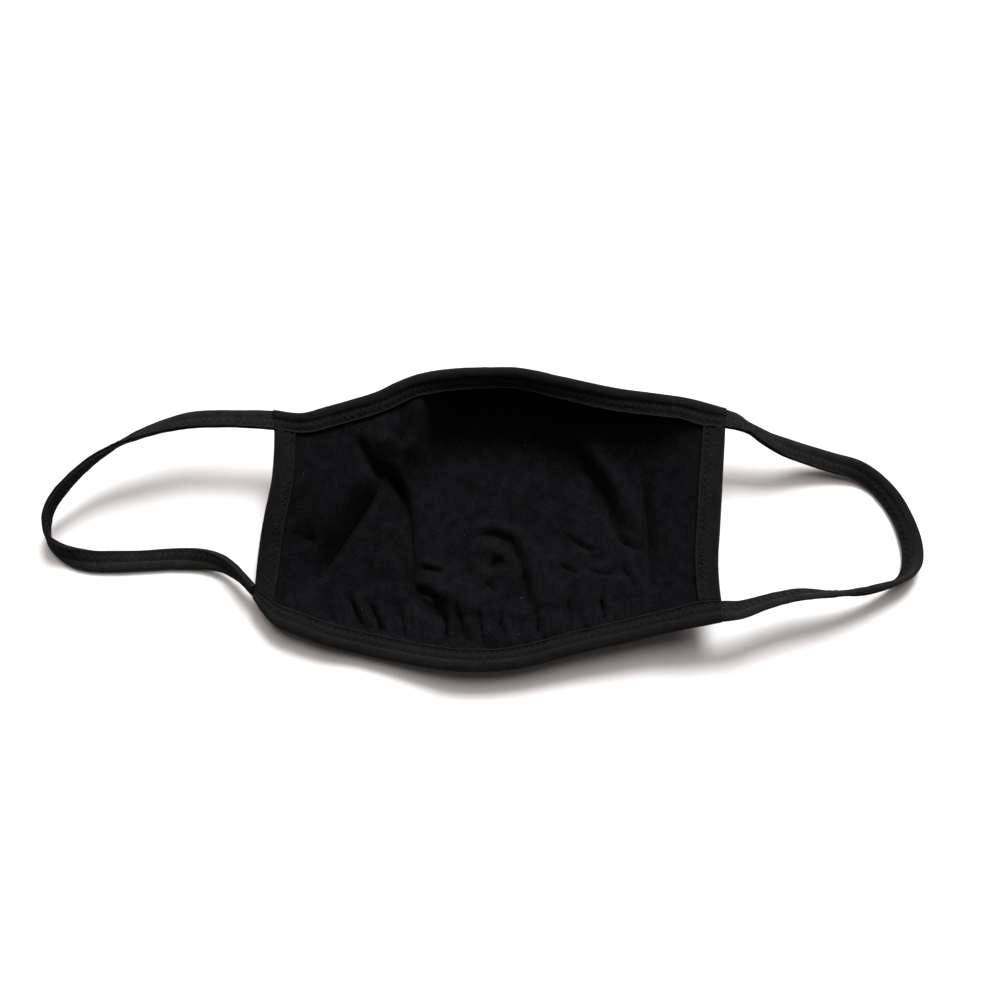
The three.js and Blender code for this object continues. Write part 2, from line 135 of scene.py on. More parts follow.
# Broad folds: a ridge (up) or a valley (down) along a line of four points.
folds = rows("ax ay bx by cx cy dx dy width up", [
    (-55, 17, -51.5, 11, -49, 7, -45, 5.5, 3.2, -3.4),  # valley down from the nose edge
    (-46, 27, -45, 23, -44.8, 17, -43, 11, 4.8, 3.6),  # gathered pillow beside it
    (-45.7, 4, -54.5, -9, -63, -22.5, -72, -35.5, 3.6, -4),  # long diagonal valley
    (-50, 8, -58, -4, -67, -16, -77, -28, 5, 2.4),  # its upper lip
    (-44, 6, -38.5, -1, -36.3, -17.5, -35, -34.5, 3.2, -3.6),  # valley down the left of the bowl
    (-31.5, 3, -30, -8, -29, -20, -28, -33, 4.2, 3),  # lip beside it
    (-45, -8, -46, -18, -46, -27, -45, -36, 6, 2.2),  # swell between the two valleys
    (-35, -34.5, -30.5, -43.8, -23, -47.7, -20.5, -58, 3.2, -3.4),  # and on to the chin edge
    (-26, -37, -18, -41, -14, -47, -13, -54, 4.4, 3),
    (-9, -13, 0, -14, 7, -17, 12, -28, 3.6, 2.4),  # hooked fold in the middle
    (8.6, -30.7, 9.4, -36, 9.8, -41, 9.7, -46, 3, -3),
    (-7, -22, -1, -22.5, 3.5, -27, 4, -38, 3.8, 3),  # puff inside the hook
    (15, -24, 16, -32, 16.5, -40, 16, -48, 4.5, 2.6),
    (-58.5, -42, -55, -48, -53.5, -51, -51.7, -54, 2.6, -2),
    (-50.5, -44.5, -47.5, -50.5, -46, -53, -44.5, -56, 2.6, -2.4),
    (-55, -42, -51.5, -48, -50, -51, -48.5, -54, 3, 1.8),
    (-38, -45, -37.8, -50, -37.2, -54, -36.6, -58, 2.6, -2),
    (39, -43.5, 39.1, -47, 39.3, -50, 39.4, -53, 2.6, -2.2),
    (26, -42, 26.5, -47, 26.8, -51, 27, -55, 2.6, -2),
    (32, -42, 32.5, -46, 33, -50, 33, -54, 3.4, 2.2),
    (-81, -17.4, -77, -18.8, -74, -20, -70.5, -20.5, 3.2, -2),
    (23, 27, 32.5, 12, 42, 0, 46, -17.5, 4.8, -3),  # broad valley at the right of the bowl
    (33, 25, 40, 13, 47.5, -1, 54, -15.5, 4, 3.4),  # ridge
    (57, 6, 57.6, -11, 58, -28, 57, -37, 3.4, -3.8),  # narrow valley
    (60, 3, 64.5, -14, 69, -30, 71.5, -41.5, 4.6, 2.2),  # ridge
])

# Ear loops: the middle line from the nose edge round to the chin edge, and the strip's roll
# about it in degrees (0 lies flat, 90 stands on edge).
leftLoop = rows("x y z roll", [
    (-88.5, 23.7, 25.7, 6),
    (-93, 24.1, 25.6, 10),
    (-99, 24.5, 25.2, 14),
    (-109, 24.7, 25, 16),
    (-120, 24.4, 24.5, 20),
    (-129.5, 22.4, 24, 34),
    (-139.5, 19.2, 23, 48),
    (-149, 15.4, 21, 64),
    (-157, 11, 19, 76),
    (-164, 5.6, 17, 84),
    (-170.3, -0.4, 14.5, 90),
    (-175.2, -6.4, 11.5, 90),
    (-177.2, -12.4, 8.5, 88),
    (-176.2, -19, 6, 78),
    (-170.4, -23.8, 4.2, 56),
    (-161.5, -26.2, 2.6, 24),
    (-150, -26.3, 1.8, 4),
    (-140, -25.9, 1.6, 0),
    (-127.5, -25.3, 2, 10),
    (-116.5, -26, 3.5, 30),
    (-108.5, -28.4, 5.4, 54),
    (-102.9, -32, 6.8, 68),
    (-98.9, -35.6, 7.6, 76),
    (-95.7, -39, 8, 78),
])
rightLoop = rows("x y z roll", [
    (88.7, 24.4, 25.1, -10),
    (92.5, 23.9, 23.8, -20),
    (97.5, 22.4, 21, -40),
    (105, 19.2, 17.6, -28),
    (113.5, 17, 13.6, -4),
    (123.5, 15.6, 8.8, 4),
    (133.5, 13.8, 5.4, 14),
    (142.6, 11.4, 4.2, 30),
    (149.3, 6.9, 3.8, 42),
    (154.5, 0.8, 3.8, 46),
    (158.2, -6, 3.6, 42),
    (160.6, -13, 3.4, 34),
    (161.9, -20.5, 3.4, 30),
    (161.2, -27.4, 4, 40),
    (158.4, -32.6, 5, 62),
    (153.8, -36, 6.4, 80),
    (147.5, -38.6, 8.2, 88),
    (138.4, -41.2, 11, 86),
    (125.6, -43.2, 14.5, 66),
    (114, -44.2, 17, 50),
    (105, -46.2, 18.2, 46),
    (98, -48.4, 18.8, 42),
    (90.5, -50.8, 19.3, 24),
    (84, -51.5, 19.5, 4),
])

# Finer creases, pleats and puckers in the jersey, on top of the broad folds. A crease is
# sharp at its line, and lip is a small swell on its left, looking from a to d.
creases = rows("ax ay bx by cx cy dx dy width up lip", [
    (-56.5, 19, -52.5, 12.5, -49.5, 7.5, -45.5, 5, 2.4, -1.8, 0.8),
    (-50.5, 27, -49.5, 22, -49, 17, -48, 12, 1.5, -1.3, 0.6),
    (-47.8, 29, -46.8, 24, -46, 19, -45.5, 14, 1.3, -1.1, 0.5),
    (-43.6, 30, -42.6, 25, -42.4, 20, -42.6, 15, 1.4, -1.2, 0.5),
    (-40, 30, -39.2, 26, -39.4, 21.5, -41, 16.5, 1.5, -0.9, 0.6),
    (-36, 33, -35.5, 26.6, -37.3, 20.5, -41.5, 13.5, 2.6, -2, 1.2),
    (-45.7, 5.5, -53.5, -8, -62, -21, -71.5, -35, 2, -2.2, 0.7),
    (-44.5, 7, -38.6, -1, -36.5, -17.5, -35, -34.5, 1.9, -3.2, 1.3),
    (-35, -34, -31.5, -42.5, -26, -46.5, -22.5, -49, 1.8, -1.9, 0.9),
    (-24, -47, -21.8, -50.5, -20.7, -55, -20.5, -60, 1.5, -1.7, 0.7),
    (-31, -29.2, -28.5, -30, -25, -30.9, -21.5, -31.6, 1.2, -1.1, 0.8),
    (-33, -38.5, -29, -39.5, -25, -42.5, -22.4, -47, 1.9, -2.2, 1.0),
    (-14.8, -16.5, -14.4, -22, -13.2, -28, -11, -34.6, 1.8, -1, 0.5),
    (-6.5, -35.6, -4.4, -37, -3, -39, -1, -41, 1.7, -1.4, 0.5),
    (-9.5, -15.2, -1, -16.2, 5.2, -20.4, 8.2, -29, 2.4, -2.2, 0.9),
    (8, -27, 9.2, -33, 9.7, -39, 9.8, -46, 2, -2, 0.8),
    (-4.6, -31, -2, -27.6, 0.5, -27, 4, -31, 1.5, -1.2, 0.5),
    (24.5, -14.8, 29, -18, 33, -21, 38, -24, 1.6, -1.1, 0.6),
    (22.5, -27.6, 25.5, -29.6, 28, -31.2, 31, -33.4, 1.3, -1, 0.5),
    (34, -31, 37.5, -32.6, 41, -33.4, 45, -33.2, 1.4, -0.9, 0.4),
    (20, -40, 20.6, -44, 21, -48, 21.5, -53, 1.3, -1.2, 0.6),
    (-58.6, -41, -56.6, -45.5, -54.4, -50, -51.4, -55.4, 1.3, -1.6, 0.9),
    (-51, -43.6, -48.4, -48, -46.6, -52, -44.2, -57.4, 1.3, -1.8, 1.1),
    (-37.9, -46.4, -37.8, -50, -37.4, -54, -36.4, -59, 1.2, -1.5, 0.8),
    (39, -42.6, 39.1, -46, 39.3, -50, 39.4, -54.5, 1.2, -1.7, 0.9),
    (35.6, -46, 36, -49, 36.4, -52, 36.6, -55, 1, -1.1, 0.7),
    (26, -43.2, 26.4, -47, 26.8, -51, 27, -56, 1.2, -1.5, 0.7),
    (-82.5, -16.6, -79, -18.4, -75, -19.8, -70, -21, 1.7, -1.6, 0.5),
    (-78.2, 10.4, -75, 7, -71.5, 4, -67.6, 0.6, 1.7, -1.2, 0.5),
    (-76, 14.6, -73, 13, -70, 11.6, -67, 11, 1.6, -0.6, 0.3),
    (-63, 20, -62.4, 16, -62, 12, -61, 8, 1.8, -0.6, 0.4),
    (23, 28, 32, 12.4, 41.6, 0, 45.6, -16.5, 2.8, -2, 0.7),
    (45.8, -16, 48, -19.5, 51, -21.6, 55, -23.4, 1.9, -1.5, 0.6),
    (57, 7, 57.8, -10, 58.2, -26, 57, -38, 2.2, -3, 1.2),
    (28.6, 18, 33, 8, 38.6, 0, 43, -9, 2.2, -0.7, 0.3),
    (70.6, 12, 72, 4, 73, -6, 74, -18, 3, -1.2, 0.5),
    (66, -4, 68.6, -14, 71, -24, 73, -34, 2.4, -0.8, 0.6),
    (-18, -2, -8, -4.4, 3, -4, 13, -7, 4, -0.4, 0.3),
    (-16.5, -44, -16, -49, -14.6, -54, -13.6, -61, 1.4, -1.8, 1.0),
    (-8.4, -47, -7.6, -52, -7, -57, -6.6, -63, 1.3, -1.6, 0.9),
    (0.6, -47, 0.4, -52, 1.4, -57, 1.8, -63, 1.3, -1.5, 0.9),
    (14.6, -47, 14, -51, 14.8, -56, 15, -61, 1.3, -1.6, 0.9),
    (-2, -19.4, 2, -20.6, 4.6, -23, 6.4, -27, 1.3, -1.4, 0.5),
    (46, -29, 49, -33.6, 51, -38, 51.4, -43, 1.6, -1.4, 0.7),
    (-66.5, -44, -65.4, -47.5, -64, -51, -62.4, -54, 1.3, -1.0, 0.6),
    (74.6, -3, 76, -3.6, 77.4, -4, 79, -4.2, 0.9, -0.8, 0.4),
    (74, 5, 75.6, 4.8, 77.2, 5, 79, 5.4, 0.9, -0.8, 0.4),
    (73.4, -12, 75.4, -12.6, 77, -12.4, 78, -12, 0.9, -0.8, 0.4),
])

# How finely the cloth is cut up, in millimetres or in cells.
cloth = dict(
    thickness=1.2,
    tape=8.3,
    across=216,
    up=132,
    underTape=12,
    cutEdge=3,
    cornerEase=12,
    wide=172,
    high=118,
    drift=0.8,
    offFloor=0.02,
)

noiseTable = np.random.default_rng(7).uniform(-1, 1, (97, 97))


# Smooth noise from -1 to 1, about size across; shift gives another patch of it.
def softNoise(x, y, size, shift=0.0):
    gx = np.asarray(x) / size + 41.3 + shift
    gy = np.asarray(y) / size + 37.7 - shift
    i, j = np.floor(gx).astype(int), np.floor(gy).astype(int)
    fx, fy = gx - i, gy - j
    fx, fy = fx * fx * (3 - 2 * fx), fy * fy * (3 - 2 * fy)
    at = lambda a, b: noiseTable[a % 97, b % 97]
    low = at(i, j) * (1 - fx) + at(i + 1, j) * fx
    high = at(i, j + 1) * (1 - fx) + at(i + 1, j + 1) * fx
    return low * (1 - fy) + high * fy


# A smooth curve through values at given places, its slopes taken from the neighbours.
def smoothThrough(at, values, t):
    at, values = np.asarray(at, float), np.asarray(values, float)
    values = values.reshape(len(at), -1)
    slope = np.empty_like(values)
    slope[1:-1] = (values[2:] - values[:-2]) / (at[2:] - at[:-2])[:, None]
    slope[0] = (values[1] - values[0]) / (at[1] - at[0])
    slope[-1] = (values[-1] - values[-2]) / (at[-1] - at[-2])
    t = np.atleast_1d(t)
    k = np.clip(np.searchsorted(at, t, side="right") - 1, 0, len(at) - 2)
    h = (at[k + 1] - at[k])[:, None]
    u = np.clip((t[:, None] - at[k][:, None]) / h, 0, 1)
    return (
        (2 * u**3 - 3 * u**2 + 1) * values[k]
        + (u**3 - 2 * u**2 + u) * h * slope[k]
        + (3 * u**2 - 2 * u**3) * values[k + 1]
        + (u**3 - u**2) * h * slope[k + 1]
    )


def lineThrough(table, last):
    points = np.stack([table[key] for key in ("x", "y", "z", last)], 1)
    steps = np.linalg.norm(np.diff(points[:, :3], axis=0), axis=1)
    chord = np.concatenate([[0], np.cumsum(steps)])
    return dict(at=chord / chord[-1], points=points, length=chord[-1])


edges = {
    "top": dict(lineThrough(topEdge, "lean"), side=-1, squeeze=1, ends=("left", "right")),
    "bottom": dict(lineThrough(bottomEdge, "lean"), side=1, squeeze=1, ends=("left", "right")),
    "left": dict(lineThrough(leftEdge, "lean"), side=-1, squeeze=0.5, ends=("bottom", "top")),
    "right": dict(lineThrough(rightEdge, "lean"), side=1, squeeze=1, ends=("bottom", "top")),
}


def innerCorner(name, end):
    return np.array(innerCorners[(end, name) if name in ("top", "bottom") else (name, end)])


# Points a given distance inside an outer edge, down the slope of its binding.
def insideEdge(name, f, inset):
    edge = edges[name]
    f = np.atleast_1d(f)
    on = smoothThrough(edge["at"], edge["points"], f)
    step = 0.02
    ahead = smoothThrough(edge["at"], edge["points"], np.minimum(f + step, 1))
    behind = smoothThrough(edge["at"], edge["points"], np.maximum(f - step, 0))
    run = ahead - behind
    run /= np.hypot(run[:, 0], run[:, 1])[:, None]
    lean = np.radians(on[:, 3])
    across = inset * np.cos(lean) * edge["side"]
    move = [-run[:, 1] * across, run[:, 0] * across, -inset * np.sin(lean)]
    return on[:, :3] + np.stack(move, 1)


def edgeSpan(name):
    edge = edges[name]
    tape = cloth["tape"] / edge["length"]
    return tape * edge["squeeze"], 1 - tape


# The inner edge of a binding, from one inner corner to the other.
def ringLine(name, part):
    low, high = edgeSpan(name)
    line = insideEdge(name, low + part * (high - low), cloth["tape"])
    ends = insideEdge(name, np.array([low, high]), cloth["tape"])
    length = edges[name]["length"]
    for n, away in ((0, part), (1, 1 - part)):
        ease = np.clip(1 - away * length / cloth["cornerEase"], 0, 1)
        ease = ease * ease * (3 - 2 * ease)
        shift = innerCorner(name, edges[name]["ends"][n]) - ends[n]
        line = line + ease[:, None] * shift
    return line


# Distance to a smooth line of four points, the part of the way along it, and the side.
def nearLine(table, n, x, y):
    knots = [[table[k + "x"][n], table[k + "y"][n]] for k in "abcd"]
    line = smoothThrough([0, 1, 2, 3], knots, np.linspace(0, 3, 19))
    nearest = np.full(x.shape, 1e9)
    along = np.zeros(x.shape)
    side = np.zeros(x.shape)
    for k in range(18):
        (ax, ay), (bx, by) = line[k], line[k + 1]
        dx, dy = bx - ax, by - ay
        u = np.clip(((x - ax) * dx + (y - ay) * dy) / (dx * dx + dy * dy), 0, 1)
        ox, oy = x - ax - u * dx, y - ay - u * dy
        away = np.hypot(ox, oy)
        closer = away < nearest
        nearest = np.where(closer, away, nearest)
        along = np.where(closer, (k + u) / 18, along)
        side = np.where(closer, np.sign(dx * oy - dy * ox), side)
    return nearest, along, side


relief = dict(folds=1.25, creases=1.9, lipAway=1.6, swellCap=4.4)


def foldHeight(x, y):
    total = np.zeros(x.shape)
    for n in range(len(folds["up"])):
        away, along, side = nearLine(folds, n, x, y)
        taper = np.minimum(1, 0.35 + 3 * np.minimum(along, 1 - along))
        rise = relief["folds"] * folds["up"][n]
        total += rise * taper * np.exp(-((away / folds["width"][n]) ** 2))
    for n in range(len(creases["up"])):
        away, along, side = nearLine(creases, n, x, y)
        width = creases["width"][n]
        taper = np.clip(5 * np.minimum(along, 1 - along), 0.12, 1)
        groove = np.exp(-away / width)
        swell = np.exp(-(((side * away - relief["lipAway"] * width) / width) ** 2))
        shape = creases["up"][n] * groove + creases["lip"][n] * swell
        total += relief["creases"] * taper * shape
    return total


# Soft swells that lift the crumpled parts off the table, so that the folds can be deep.
swells = rows("x y wide high up", [
    (2, -42, 44, 22, 4.2),
    (-50, -14, 20, 26, 2.6),
    (44, 2, 15, 26, 2.6),
    (44, -28, 16, 12, 1.6),
    (-40, 20, 8, 12, 1.5),
])


def swellHeight(x, y):
    total = np.zeros(x.shape)
    for cx, cy, wide, high, up in zip(*swells.values()):
        total += up * np.exp(-((((x - cx) / wide) ** 2 + ((y - cy) / high) ** 2) ** 1.5))
    return np.minimum(total, relief["swellCap"])


# Small pleats that run in from the chin binding, where the cloth was gathered into it.
gathers = dict(
    firstX=-66,
    lastX=50,
    spacing=2.9,
    reach=(5, 13),
    depth=(0.8, 2.6),
    slant=0.28,
    width=(0.55, 1.0),
    fadeOut=6,
    seed=5,
)


def gatherHeight(x, inFromEdge):
    rng = np.random.default_rng(gathers["seed"])
    total = np.zeros(x.shape)
    at = gathers["firstX"]
    while at < gathers["lastX"]:
        reach, depth = rng.uniform(*gathers["reach"]), rng.uniform(*gathers["depth"])
        slant = rng.uniform(-gathers["slant"], gathers["slant"])
        width = rng.uniform(*gathers["width"])
        off = x - at - slant * inFromEdge
        fall = np.exp(-((inFromEdge / reach) ** 2))
        pinch = 1 + 0.35 * inFromEdge / reach
        near = off / (width * pinch)
        total += depth * fall * (0.75 * np.exp(-((near / 2) ** 2)) - 1.7 * np.exp(-np.abs(near)))
        at += gathers["spacing"] * rng.uniform(0.65, 1.4)
    started = np.clip((x - gathers["firstX"] + 2) / gathers["fadeOut"], 0, 1)
    ended = np.clip((gathers["lastX"] + 2 - x) / gathers["fadeOut"], 0, 1)
    return total * started * ended


# Soft uneven crumpling, strongest around a middle near the chin.
crumpling = dict(least=0.45, most=1.1, x=4, y=-38, wide=42, high=17, broad=0.8, fine=0.45, grain=0.07)


def crumpleHeight(x, y):
    c = crumpling
    away = ((x - c["x"]) / c["wide"]) ** 2 + ((y - c["y"]) / c["high"]) ** 2
    strength = c["least"] + c["most"] * np.exp(-(away**2))
    broad = c["broad"] * softNoise(x, y, 9.5)
    fine = c["fine"] * softNoise(x, y * 0.8, 4.6, 3.1)
    return strength * (broad + fine) + c["grain"] * softNoise(x, y, 1.9, 8.4)


# The middle surface of the cloth as a grid: under the tape, between the tapes, and under
# the tape on the far side, in both directions.
def clothSurface():
    m = cloth["underTape"]
    part = np.linspace(0, 1, m + 1)
    s = np.linspace(0, 1, cloth["across"] + 1)
    t = np.linspace(0, 1, cloth["up"] + 1)
    grid = np.zeros((len(s) + 2 * m, len(t) + 2 * m, 3))
    low, high = ringLine("bottom", s), ringLine("top", s)
    left, right = ringLine("left", t), ringLine("right", t)

    along, over = s[:, None, None], t[None, :, None]
    middle = (1 - along) * left[None] + along * right[None]
    middle = middle + (1 - over) * low[:, None] + over * high[:, None]
    middle = middle - (1 - along) * (1 - over) * low[0] - along * (1 - over) * low[-1]
    middle = middle - (1 - along) * over * high[0] - along * over * high[-1]
    x, y = middle[..., 0], middle[..., 1]
    columns = [low[:, 2]]
    for at in sectionAt:
        key = "z%02d" % round(at * 100)
        ends = [np.interp(at, t, left[:, 2]), np.interp(at, t, right[:, 2])]
        across = [ends[0], *sections[key], ends[1]]
        columns.append(smoothThrough([0, *sections["s"], 1], across, s)[:, 0])
    columns.append(high[:, 2])
    z = smoothThrough([0, *sectionAt, 1], np.stack(columns), t).T
    easeIn = lambda away: np.clip(1 - away, 0, 1) ** 2
    z += (left[:, 2] - z[0])[None] * easeIn(s[:, None] * 14)
    z += (right[:, 2] - z[-1])[None] * easeIn((1 - s[:, None]) * 14)

    nearSide = np.minimum(s, 1 - s)[:, None]
    nearEnd = np.minimum(t, 1 - t)[None]
    fade = np.clip(np.minimum(5 * nearSide, 7 * nearEnd), 0, 1)
    tight = np.clip(np.minimum(40 * nearSide, 25 * nearEnd), 0, 1)
    upFromChin = t[None] * np.linalg.norm(high - low, axis=1)[:, None]
    broad = foldHeight(x, y) + swellHeight(x, y)
    chinFade = np.clip(t[None] * 40, 0, 1) * np.clip(nearSide * 9, 0, 1)
    folded = np.where(t[None] < 0.2, np.maximum(fade, chinFade * 0.8), fade) * broad
    z += folded + tight * crumpleHeight(x, y) + chinFade * gatherHeight(x, upFromChin)
    middle[..., 2] = np.maximum(z, cloth["thickness"] / 2)
    grid[m:-m, m:-m] = middle

    def strip(name, ring, parts):
        f0, f1 = edgeSpan(name)
        outer = insideEdge(name, f0 + parts * (f1 - f0), 0)
        return outer[:, None] + part[None, :, None] * (ring - outer)[:, None]

    grid[m:-m, : m + 1] = strip("bottom", low, s)
    grid[m:-m, -m - 1 :] = strip("top", high, s)[:, ::-1]
    grid[: m + 1, m:-m] = strip("left", left, t).transpose(1, 0, 2)
    grid[-m - 1 :, m:-m] = strip("right", right, t).transpose(1, 0, 2)[::-1]

    a, b = part[:, None, None], part[None, :, None]
    for (side, end), corner in innerCorners.items():
        sideSpan, endSpan = edgeSpan(side), edgeSpan(end)
        near = lambda span, first: span[0] * part if first else 1 - (1 - span[1]) * part
        onEnd = insideEdge(end, near(endSpan, side == "left"), 0)
        onSide = insideEdge(side, near(sideSpan, end == "bottom"), 0)
        inner = np.array(corner)
        farEnd, farSide, tip = onEnd[-1], onSide[-1], onEnd[0]
        lineEnd = farSide + part[:, None] * (inner - farSide)
        lineSide = farEnd + part[:, None] * (inner - farEnd)
        patch = (1 - b) * onEnd[:, None] + b * lineEnd[:, None]
        patch = patch + (1 - a) * onSide[None] + a * lineSide[None]
        patch = patch - (1 - a) * (1 - b) * tip - a * (1 - b) * farEnd
        patch = patch - (1 - a) * b * farSide - a * b * inner
        patch = patch if side == "left" else patch[::-1]
        patch = patch if end == "bottom" else patch[:, ::-1]
        i = slice(0, m + 1) if side == "left" else slice(-m - 1, None)
        j = slice(0, m + 1) if end == "bottom" else slice(-m - 1, None)
        grid[i, j] = patch

    normal = np.cross(np.gradient(grid, axis=0), np.gradient(grid, axis=1))
    normal /= np.linalg.norm(normal, axis=2)[..., None]
    return grid, normal


surface, surfaceNormal = clothSurface()
print("cloth surface", surface.shape, surface[..., 2].min(), surface[..., 2].max())


# The surface and its normal between the grid's points, and a little way past its edges.
def onSurface(i, j):
    i, j = np.asarray(i, float), np.asarray(j, float)
    i0 = np.clip(np.floor(i).astype(int), 0, surface.shape[0] - 2)
    j0 = np.clip(np.floor(j).astype(int), 0, surface.shape[1] - 2)
    u, v = (i - i0)[..., None], (j - j0)[..., None]

    def mix(of):
        low = of[i0, j0] * (1 - u) + of[i0 + 1, j0] * u
        high = of[i0, j0 + 1] * (1 - u) + of[i0 + 1, j0 + 1] * u
        return low * (1 - v) + high * v

    normal = mix(surfaceNormal)
    return mix(surface), normal / np.linalg.norm(normal, axis=-1)[..., None]


def pieceFrom(name, points, faces, uv=None):
    mesh = bpy.data.meshes.new(name)
    mesh.from_pydata(((points + np.array(place)) * mm).tolist(), [], faces)
    mesh.update()
    mesh.polygons.foreach_set("use_smooth", [True] * len(mesh.polygons))
    if uv is not None:
        loops = np.empty(len(mesh.loops), int)
        mesh.loops.foreach_get("vertex_index", loops)
        layer = mesh.uv_layers.new(name="cloth")
        layer.data.foreach_set("uv", (uv[loops] * mm).ravel())
    piece = bpy.data.objects.new(name, mesh)
    bpy.context.scene.collection.objects.link(piece)
    return piece


def gridFaces(wide, high, start=0, turned=False):
    i, j = np.meshgrid(np.arange(wide - 1), np.arange(high - 1), indexing="ij")
    a = (start + i * high + j).ravel()
    faces = np.stack([a, a + high, a + high + 1, a + 1], 1)
    return (faces[:, ::-1] if turned else faces).tolist()


# The two faces of the cloth and the cut edge between them.
def makePanel():
    c = cloth["cutEdge"]
    points = surface[c:-c, c:-c]
    normal = surfaceNormal[c:-c, c:-c]
    wide, high = points.shape[:2]
    half = cloth["thickness"] / 2
    upper, lower = points + normal * half, points - normal * half
    lower[..., 2] = np.maximum(lower[..., 2], cloth["offFloor"])
    count = wide * high
    faces = gridFaces(wide, high) + gridFaces(wide, high, count, True)
    rim = [i * high for i in range(wide)] + [(wide - 1) * high + j for j in range(1, high)]
    rim += [i * high + high - 1 for i in range(wide - 2, -1, -1)]
    rim += list(range(high - 2, 0, -1))
    for a, b in zip(rim, rim[1:] + rim[:1]):
        faces.append([b, a, a + count, b + count])
    at = points[..., 0], points[..., 1]
    x = np.linspace(0, cloth["wide"], wide)[:, None] + cloth["drift"] * softNoise(*at, 14)
    y = np.linspace(0, cloth["high"], high)[None] + cloth["drift"] * softNoise(*at, 11, 5)
    uv = np.stack([x, y], -1).reshape(-1, 2)
    both = np.concatenate([upper.reshape(-1, 3), lower.reshape(-1, 3)])
    return pieceFrom("mask_panel_cloth", both, faces, np.concatenate([uv, uv]))


# Half of a binding's section: inset from the outer edge, lift off the middle of the cloth.
bindingProfile = rows("inset lift", [
    (8.3, 0.78),
    (8.4, 1.2),
    (8.3, 1.7),
    (8.0, 1.92),
    (7.65, 1.82),
    (7.3, 1.42),
    (6.9, 1.3),
    (6.3, 1.56),
    (5.6, 1.64),
    (4.9, 1.56),
    (4.4, 1.34),
    (4.1, 1.3),
    (3.8, 1.52),
    (3.3, 1.9),
    (2.7, 2.1),
    (2.0, 2.12),
    (1.3, 1.94),
    (0.7, 1.6),
    (0.25, 1.1),
    (0.02, 0.55),
    (-0.05, 0),
])
binding = dict(inside=0.68, slotEnd=1.5, pucker=0.09, wave=0.05, wander=0.16, wanderFrom=6.8)


# Station on the grid of a point on a binding: n along it, inset from its outer edge.
def bindingStation(name, n, inset):
    j = inset * cloth["underTape"] / cloth["tape"]
    last = [surface.shape[0] - 1, surface.shape[1] - 1]
    if name == "bottom":
        return n + 0 * j, j + 0 * n
    if name == "top":
        return n + 0 * j, last[1] - j + 0 * n
    if name == "left":
        return j + 0 * n, n + 0 * j
    return last[0] - j + 0 * n, n + 0 * j


# Stations along a binding; the side bindings stop short of the long ones.
def bindingSpan(name):
    m = cloth["underTape"]
    if name in ("top", "bottom"):
        return np.arange(0, surface.shape[0], dtype=float)
    return np.arange(m + 0.25, surface.shape[1] - m - 0.2, 1.0)


def bindingDistance(name, n):
    line, _ = onSurface(*bindingStation(name, n, np.full(len(n), 4.0)))
    steps = np.linalg.norm(np.diff(line, axis=0), axis=1)
    return np.concatenate([[0], np.cumsum(steps)])


# The folded tape: its outside, and the slot inside it that takes the cloth's edge.
def makeBinding(name, pieceName):
    n = bindingSpan(name)
    far = bindingDistance(name, n)[:, None]
    inset = np.concatenate([bindingProfile["inset"], bindingProfile["inset"][-2::-1]])[None]
    lift = np.concatenate([bindingProfile["lift"], -bindingProfile["lift"][-2::-1]])[None]
    side = {"top": 11, "bottom": 23, "left": 37, "right": 51}[name]
    pull = 1 + binding["pucker"] * softNoise(far, inset * 2, 2.6, side)
    pull = pull + binding["wave"] * softNoise(far, inset, 7.5, side + 2)
    wander = binding["wander"] * softNoise(far, 0 * inset, 5.5, side)
    wander = wander * (inset > binding["wanderFrom"])
    outer, normal = onSurface(*bindingStation(name, n[:, None], inset + wander))
    outer = outer + normal * (lift * pull)[..., None]
    slot = np.maximum(inset, binding["slotEnd"])
    inner, normal = onSurface(*bindingStation(name, n[:, None], slot))
    level = np.clip(lift, -binding["inside"], binding["inside"])
    inner = inner + normal * level[..., None]
    long, size = outer.shape[:2]
    points = np.concatenate([outer, inner[:, ::-1]], 1)
    size2 = 2 * size
    turned = name in ("top", "left")
    faces = []
    for i in range(long - 1):
        for k in range(size2):
            a, b = i * size2 + k, i * size2 + (k + 1) % size2
            quad = [a, b, b + size2, a + size2]
            faces.append(quad[::-1] if turned else quad)
    for ring, flip in ((0, turned), (long - 1, not turned)):
        for k in range(size - 1):
            o = ring * size2
            quad = [o + k, o + size2 - 1 - k, o + size2 - 2 - k, o + k + 1]
            faces.append(quad[::-1] if flip else quad)
    run = np.concatenate([[0], np.cumsum(np.hypot(np.diff(inset[0]), np.diff(lift[0])))])
    over = np.concatenate([run, run[::-1]])
    uv = np.stack([np.broadcast_to(far, (long, size2)), np.broadcast_to(over, (long, size2))], -1)
    return pieceFrom(pieceName, points.reshape(-1, 3), faces, uv.reshape(-1, 2))


# Section of an ear loop: a strip folded in half, its fold on the outer side of the loop.
loopProfile = rows("across off", [
    (4.1, 0.22),
    (4.16, 0.62),
    (3.95, 0.98),
    (3.5, 1.02),
    (3.1, 0.74),
    (2.75, 0.7),
    (2.2, 0.86),
    (1.3, 0.9),
    (0.5, 0.84),
    (0.05, 0.62),
    (-0.3, 0.6),
    (-0.7, 0.84),
    (-1.3, 1.08),
    (-2.1, 1.18),
    (-2.9, 1.12),
    (-3.5, 0.86),
    (-3.92, 0.48),
    (-4.08, 0),
])
loop = dict(steps=340, pucker=0.08, wave=0.07, width=0.03, insideFold=3.3, tuck=1.4)


